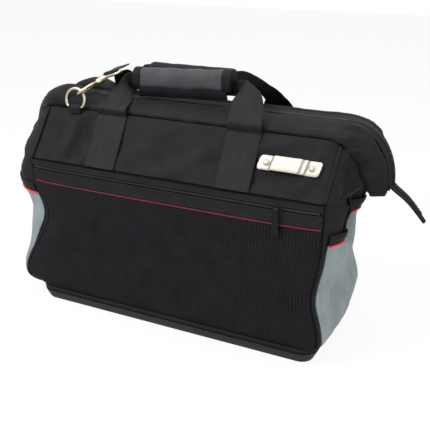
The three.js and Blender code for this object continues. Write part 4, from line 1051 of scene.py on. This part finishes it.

# %% [markdown]
# ## Lining and yokes
# Behind each shoulder panel hangs a lining that stretches from the body to the mouth. A small yoke closes
# each end between the two gussets.

# %% Inner lining of the upper panels, and the yoke over each pivot
panel_outward = Vector((0, -0.86, 0.5))


def lining_point(u, v):
    behind = panel_outward * (3.4 + 2.0 * arch(v))
    return upper_panel_point(lerp(0.01, 0.99, u), lerp(-0.03, 0.98, v)) - behind


for end, flip, s in ENDS:
    lining = lay(f"{end}_upper_lining", lambda u, v: flip(lining_point(u, v)), 90, 20, polyester,
                 thickness=1.0, outward=lambda p: (0, s, 0.6),
                 ripple=lambda u, v, p: 0.6 * crumple(p, 40, 2.0) * arch(v))
    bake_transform(lining)
    belongs(lining, "black_polyester")


def yoke_point(side, u, v):
    foot = end_point(side, lerp(0.34, 0.66, u), 205, -1.5)
    top = Vector((SIGN[side] * (PIVOT_X - 6), lerp(-25, 25, u), PIVOT_Z + 10))
    return foot.lerp(top, v) - Vector((SIGN[side] * 3 * arch(v), 0, 0))


for side in ("left", "right"):
    yoke = lay(f"{side}_end_yoke", lambda u, v: yoke_point(side, u, v), 20, 10, polyester, thickness=1.4,
               outward=lambda p: (SIGN[side], 0, 0.3))
    belongs(yoke, "black_polyester", "bag")

# %% [markdown]
# ## Webbing handles and the grip
# Each handle is one length of webbing, sewn flat down the panel, that turns on edge and is rolled as it
# enters the grip. The front one has a grey padded wrap with black bindings and a black lip below it, and
# the rear one a plain black sleeve.

# %% Handle webbing
WEBBING, WEBBING_THICK = 46, 2
HANDLE_X = {"left": -99, "right": 93}
# Y and Z of each grip's axis, where the grip starts in X, and its length
GRIP_Y, GRIP_Z, GRIP_START, GRIP_LENGTH = -11, 321, -88, 145
REAR_GRIP_Y, REAR_GRIP_Z, REAR_START, REAR_LENGTH = 16, 329, -84, 134
panel_low, panel_high = upper_panel_point(0.5, 0), upper_panel_point(0.5, 1)
slope = (panel_high - panel_low).normalized()
panel_normal = Vector((0, -slope.z, slope.y))


def panel_face(x, v, offset):
    p = panel_low.lerp(panel_high, v) + panel_normal * offset
    return Vector((x, p.y, p.z))


handle_base = panel_face(0, 0.945, 1.3) + slope * 1.3
X = Vector((1, 0, 0))
# Where each handle turns from the grip's right end down to its leg
RIGHT_BEND = {
    "front": [((80, -31, 326), (-0.6, -0.4, -0.7), 19), ((87, -40, 317), (-1, -0.1, -0.2), 38),
              ((92, -51, 301), (-1, 0, 0), WEBBING)],
    "rear": [((83, -32, 315), (-0.6, -0.2, -0.8), 18), ((92, -47, 301), (-1, -0.1, -0.2), 30)],
}


def handle_stations(end, y, z, start, length, rolled):
    """Stations of a handle, whose webbing is rolled to this width inside the grip."""
    def rise(x, t, lean):
        return Vector((x, lerp(handle_base.y, y, t) - lean, lerp(handle_base.z, z, t)))

    def inside(t):
        return Vector((start + t * length, y, z)), Vector((0, 0, -1)), rolled

    left, right_x = HANDLE_X["left"], HANDLE_X["right"]
    stand = Vector((0, handle_base.y - 2.2, handle_base.z + 9))
    return [
        (rise(left, 0, 0), X, WEBBING),
        (stand + X * left, X, WEBBING),
        (rise(left, 0.4, 2), X, WEBBING * 0.86),
        (rise(left + 1, 0.7, 0), Vector((0.8, 0.35, -0.4)), WEBBING * 0.5),
        (Vector((start - 10, y - 3, z - 3)), Vector((0.2, 0.3, -0.93)), rolled),
        inside(0.04), inside(0.3), inside(0.7), inside(0.96),
        (Vector((start + length + 8, y - 2, z + 1)), Vector((-0.15, -0.05, -0.98)), rolled),
        *((Vector(at), Vector(across), width) for at, across, width in RIGHT_BEND[end]),
        (stand + X * right_x, -X, WEBBING),
        (rise(right_x, 0, 0), -X, WEBBING),
    ]


def turned(stations):
    return [(rear(at), rear(across), width) for at, across, width in stations]


def strap_ripple(u, v, p):
    return 0.35 * crumple(p, 18, 5.0)


for end, stations in (
    ("front", handle_stations("front", GRIP_Y, GRIP_Z, GRIP_START, GRIP_LENGTH, 21)),
    ("rear", turned(handle_stations("rear", -REAR_GRIP_Y, REAR_GRIP_Z, REAR_START, REAR_LENGTH, 17.5))),
):
    loop = lay_strap(f"{end}_handle_strap", stations, WEBBING_THICK, webbing, rows=260, ripple=strap_ripple)
    belongs(loop, "black_webbing", f"handle_{end}", f"{end}_handle_webbing")
    for side in ("left", "right"):
        sewn = [(panel_face(HANDLE_X[side], v, 1.3), X, WEBBING) for v in (-0.01, 0.5, 0.95)]
        if end == "rear":
            sewn = turned(sewn)
        tail_piece = lay_strap(f"{end}_{side}_sewn_strap", sewn, WEBBING_THICK, webbing, rows=50)
        panel_blend(tail_piece, end)
        belongs(tail_piece, "black_webbing", None, f"{end}_{side}_handle_tail")

# %% Padded grip, its bindings and lip
def pad(name, start, end, centre, height, depth, material, rows=70, ripple=None, round_share=0.06):
    """Closed padded roll along X. centre(x) gives its axis, and round_share how much each end rounds off."""
    def surface(u, v):
        x = lerp(start, end, v)
        near = min(v, 1 - v) / round_share
        size = math.sqrt(1 - (1 - clamp(near)) ** 2) if near < 1 else 1
        angle = 2 * math.pi * u
        y, z = centre(x)
        return Vector((x, y + depth / 2 * size * rounded(math.cos(angle), 0.75),
                       z + height / 2 * size * rounded(math.sin(angle), 0.75)))

    return lay(name, surface, 36, rows, material, wrap=True, ripple=ripple)


def grip_axis(x):
    return GRIP_Y, 322.5 + (x + 76) * 0.05


def grip_ripple(u, v, p):
    return 0.8 * crumple(p, 26, 3.0) - 0.8 * bump(u, 0.62, 0.015)


grip = pad("front_grip_wrap", GRIP_START, GRIP_START + GRIP_LENGTH, grip_axis, 29, 23, grip_cloth,
           ripple=grip_ripple)
belongs(grip, "grip_padding", "handle_front", "grip_wrap")
for name, start, end in (("left_grip_binding", -89, -76), ("right_grip_binding", 43, 58)):
    bound = pad(name, start, end, grip_axis, 31, 25, binding, rows=26, round_share=0.12,
                ripple=lambda u, v, p: 0.5 * crumple(p, 12, 2.0))
    belongs(bound, "black_binding", "handle_front")


def lip_point(u, v):
    x = lerp(-80, 50, u)
    y, z = grip_axis(x)
    return Vector((x, y - 9.5 + 5 * v * v, z - 9 - 15 * v))


lip = lay("front_grip_lip", lip_point, 70, 12, polyester, thickness=2.4, outward=lambda p: (0, -1, 0),
          ripple=lambda u, v, p: 0.7 * crumple(p, 22, 1.0))
belongs(lip, "black_polyester", "handle_front")
rear_pad = pad("rear_grip_sleeve", REAR_START, REAR_START + REAR_LENGTH,
               lambda x: (REAR_GRIP_Y, REAR_GRIP_Z), 24, 17, webbing,
               ripple=lambda u, v, p: 0.6 * crumple(p, 24, 6.0))
belongs(rear_pad, "black_webbing", "handle_rear", "rear_handle_sleeve")
print("grip at", [round(c, 3) for c in grip.data.vertices[0].co])

# %% [markdown]
# ## Metal parts
# Rings, hooks, gates, eyes, ring tabs, sliders and pullers start as copies of their CAD solids: the loose
# triangles are merged, turned to quads, and rounded by a subdivision surface or a bevel. The clip plate
# is pressed anew from its profile, and its rivets have domed heads.

# %% Rounded copies of the CAD metal
METAL_MERGE = 0.02


def refined(node, body, material, slot, swell=0.0, levels=2, bevel=0.0):
    """Copy of a CAD node. swell makes up for what the subdivision takes off."""
    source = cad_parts[node]
    piece = bpy.data.objects.new(f"{node}_metal", source.data.copy())
    bpy.context.scene.collection.objects.link(piece)
    piece.data.materials.clear()
    piece.data.materials.append(material)
    edit(piece, (bpy.ops.mesh.remove_doubles, {"threshold": METAL_MERGE * MM}),
         (bpy.ops.mesh.dissolve_limited, {"angle_limit": math.radians(2)}) if bevel else
         (bpy.ops.mesh.tris_convert_to_quads, {}))
    if bevel:
        modify(piece, "BEVEL", width=bevel * MM, segments=3, limit_method="ANGLE",
               angle_limit=math.radians(35))
    if swell:
        modify(piece, "DISPLACE", strength=swell * MM, mid_level=0)
    if levels:
        modify(piece, "SUBSURF", levels=levels, render_levels=levels)
    soften(piece, 50)
    belongs(piece, slot, body, node)


for end in ("front", "rear"):
    refined(f"{end}_ring", f"{end}_strap_ring", nickel, "nickel_plate", swell=0.35)
    refined(f"{end}_snap_hook", f"{end}_snap", nickel, "nickel_plate", swell=0.3)
    refined(f"{end}_snap_gate", f"{end}_gate", brassy, "nickel_plate", swell=0.25)
    refined(f"{end}_snap_eye", f"{end}_strap_ring", nickel, "nickel_plate", swell=0.3)
    refined(f"{end}_ring_tab", f"mouth_{end}", webbing, "black_webbing", levels=1)

# %% Clip plate and its rivets
PLATE_V = (PLATE_Z - panel_low.z) / (panel_high.z - panel_low.z)
RIVET_X, RIVET_RADIUS = 28.3, 4.2


def plate_height(x):
    """Pressed steps: a raised bar between two feet, with a narrow half-way tread at its right."""
    grooves = 0.9 * (bump(x, -22.2, 0.9) + bump(x, 15.8, 0.8) + bump(x, 22.6, 0.8))
    return 1.2 + 3.4 * smooth((x + 21.5) / 1.2) * (1 - smooth((x - 13.8) / 1.2)) + 1.7 * (
        smooth((x - 13.8) / 1.2) - smooth((x - 20.8) / 1.2)) - grooves


def plate_point(u, v):
    half_long, half_high, corner = 38.5, 9.25, 3.6
    x = lerp(-half_long, half_long, u)
    near = max(0, abs(x) - half_long + corner) / corner
    high = half_high - corner + corner * math.sqrt(max(0, 1 - near**2))
    crown = 0.5 * (1 - abs(2 * v - 1) ** 6)
    return panel_face(PLATE_X + x, PLATE_V, plate_height(x) + crown + 1.2) + slope * lerp(-high, high, v)


plate = lay("clip_plate_pressing", plate_point, 150, 20, satin_nickel, thickness=1.0,
            outward=lambda p: (0, -1, 0.6))
belongs(plate, "nickel_plate", "front_flap", "clip_plate")
for side in ("left", "right"):
    x = SIGN[side] * RIVET_X
    bpy.ops.object.select_all(action="DESELECT")
    bpy.ops.mesh.primitive_uv_sphere_add(segments=32, ring_count=16, radius=RIVET_RADIUS * MM)
    rivet = bpy.context.object
    rivet.name = rivet.data.name = f"plate_{side}_rivet_head"
    tilt = Vector((0, 0, 1)).rotation_difference(panel_normal).to_matrix().to_4x4()
    spot = panel_face(PLATE_X + x, PLATE_V, plate_height(x) + 1.7) * MM
    rivet.data.transform(Matrix.Translation(spot) @ tilt @ Matrix.Diagonal((1, 1, 0.42, 1)))
    rivet.data.materials.append(satin_nickel)
    soften(rivet, 60)
    belongs(rivet, "nickel_plate", "front_flap", f"clip_plate_{side}_rivet")
print("clip plate faces:", len(plate.data.polygons))

# %% Zip sliders and pullers, and the finish of the CAD nodes that stay
for part in ("mouth", "pocket"):
    refined(f"{part}_slider", f"{part}_slide", enamel, "zip_metal", levels=0, bevel=0.25)
    refined(f"{part}_puller", f"{part}_pull", enamel, "zip_metal", levels=0, bevel=0.45)
for node in ("front_mouth_frame", "rear_mouth_frame", "left_pivot_rivet", "right_pivot_rivet"):
    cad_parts[node].material_slots[0].material = steel
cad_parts["base_board"].material_slots[0].material = fibre_board

# %% [markdown]
# ## Shoulder strap
# The strap is sewn round the eye of each snap hook. It leaves the front one over the closed mouth, lies
# down behind the rear panel and comes up to the rear hook. It is cut into lengths where it crosses a
# joint. A length on one body rides on it, and one between two bodies is baked where it is laid.

# %% Strap stations
# EYE_BAR is the distance from a ring to the bar of the hook's eye
STRAP_WIDTH, STRAP_THICK, EYE_BAR = 38, 2, 64
# For each eye: the ring's point that carries it, the hook's direction, the bar's direction, the eye's turn
# and the side on which the strap runs off
EYES = {
    "front": ((-149.69, -60.43, 303.09), (0.2562, 0.9118, 0.3208), (0.7594, -0.3952, 0.5168), 0.28, 1),
    "rear": ((154.63, 83.19, 258.82), (-0.0646, 0.6247, -0.7782), (0.5579, 0.6692, 0.4909), -0.54, -1),
}


def eye_loop(end):
    """Stations from the loose end round the eye's bar."""
    origin, along, across, turn, side = EYES[end]
    origin, along, across = Vector(origin), Vector(along), Vector(across)
    normal = along.cross(across)
    across, normal = (across * math.cos(turn) + normal * math.sin(turn),
                      normal * math.cos(turn) - across * math.sin(turn))
    wrap = 3.3
    local = [(20, -1.5), (8, -2.0), (0, -wrap)]
    local += [(-wrap * math.sin(math.pi * t), -wrap * math.cos(math.pi * t)) for t in (0.25, 0.5, 0.75)]
    local += [(0, wrap), (10, wrap)]
    return [(origin + along * (EYE_BAR + x) + normal * side * z, across, STRAP_WIDTH) for x, z in local]


def route(*rows):
    return [(Vector(at), Vector(across), STRAP_WIDTH) for at, across in rows]


def same_side(stations):
    """Turns each width direction so that the strap doesn't twist over between two stations."""
    kept = stations[:1]
    for at, across, width in stations[1:]:
        kept.append((at, -across if across.dot(kept[-1][1]) < 0 else across, width))
    return kept


over = same_side(eye_loop("front") + route(
    ((-128.5, 24, 318), (0.9, -0.35, 0.2)),
    ((-140.5, 41, 307), (0.93, -0.3, 0.1)),
    ((-148, 55, 292), (1, -0.1, 0)),
    ((-151, 67, 273), (1, 0, 0)),
    ((-150, 85, 244), (1, 0, 0)),
    ((-149, 101, 216), (1, 0, 0)),
))
down = same_side(route(
    ((-149, 104, 212), (1, 0, 0)),
    ((-147, 109, 180), (1, 0.2, 0)),
    ((-138, 117, 130), (0.7, 0.7, 0)),
    ((-105, 122, 84), (0.2, 1, 0)),
    ((-40, 124, 56), (0, 1, 0)),
    ((40, 124, 54), (0, 1, 0)),
    ((95, 124, 78), (0, 1, 0)),
    ((128, 126, 116), (0, 1, 0.1)),
    ((145, 130, 152), (0, 1, 0.2)),
    ((147, 134, 179), (0, 0.88, 0.47)),
) + eye_loop("rear")[::-1])


# %% Strap lengths
def strap_length(name, stations, first, last, rows, bodies, *nodes):
    """The strap between two stations. It rides on one body, or with two bodies is baked where it is laid."""
    count = len(stations) - 1
    piece = lay_strap(name, stations, STRAP_THICK, webbing, rows=rows, part=(first / count, last / count))
    if len(bodies) == 2:
        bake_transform(piece)
    belongs(piece, "black_webbing", bodies[0] if len(bodies) == 1 else None, *nodes)


strap_length("strap_front_loop", over, 4, 8, 60, ("front_strap_ring", "mouth_front"), "shoulder_strap_front")
strap_length("strap_front_fold", over, 0, 4, 30, ("front_strap_ring",))
strap_length("strap_over_mouth", over, 8, 9, 16, ("mouth_front", "bag"))
strap_length("strap_on_rear_sleeve", over, 9, 10, 16, ("bag", "mouth_rear"))
strap_length("strap_down_panel", over, 10, 13, 50, ("mouth_rear", "bag"))
strap_length("strap_hanging_loop", down, 0, 7, 160, ("bag",), "shoulder_strap_rear")
strap_length("strap_up_to_rear_hook", down, 7, 9, 36, ("bag", "mouth_rear"))
strap_length("strap_rear_loop", down, 9, 13, 60, ("mouth_rear", "rear_strap_ring"))
strap_length("strap_rear_fold", down, 13, 17, 30, ("rear_strap_ring",))
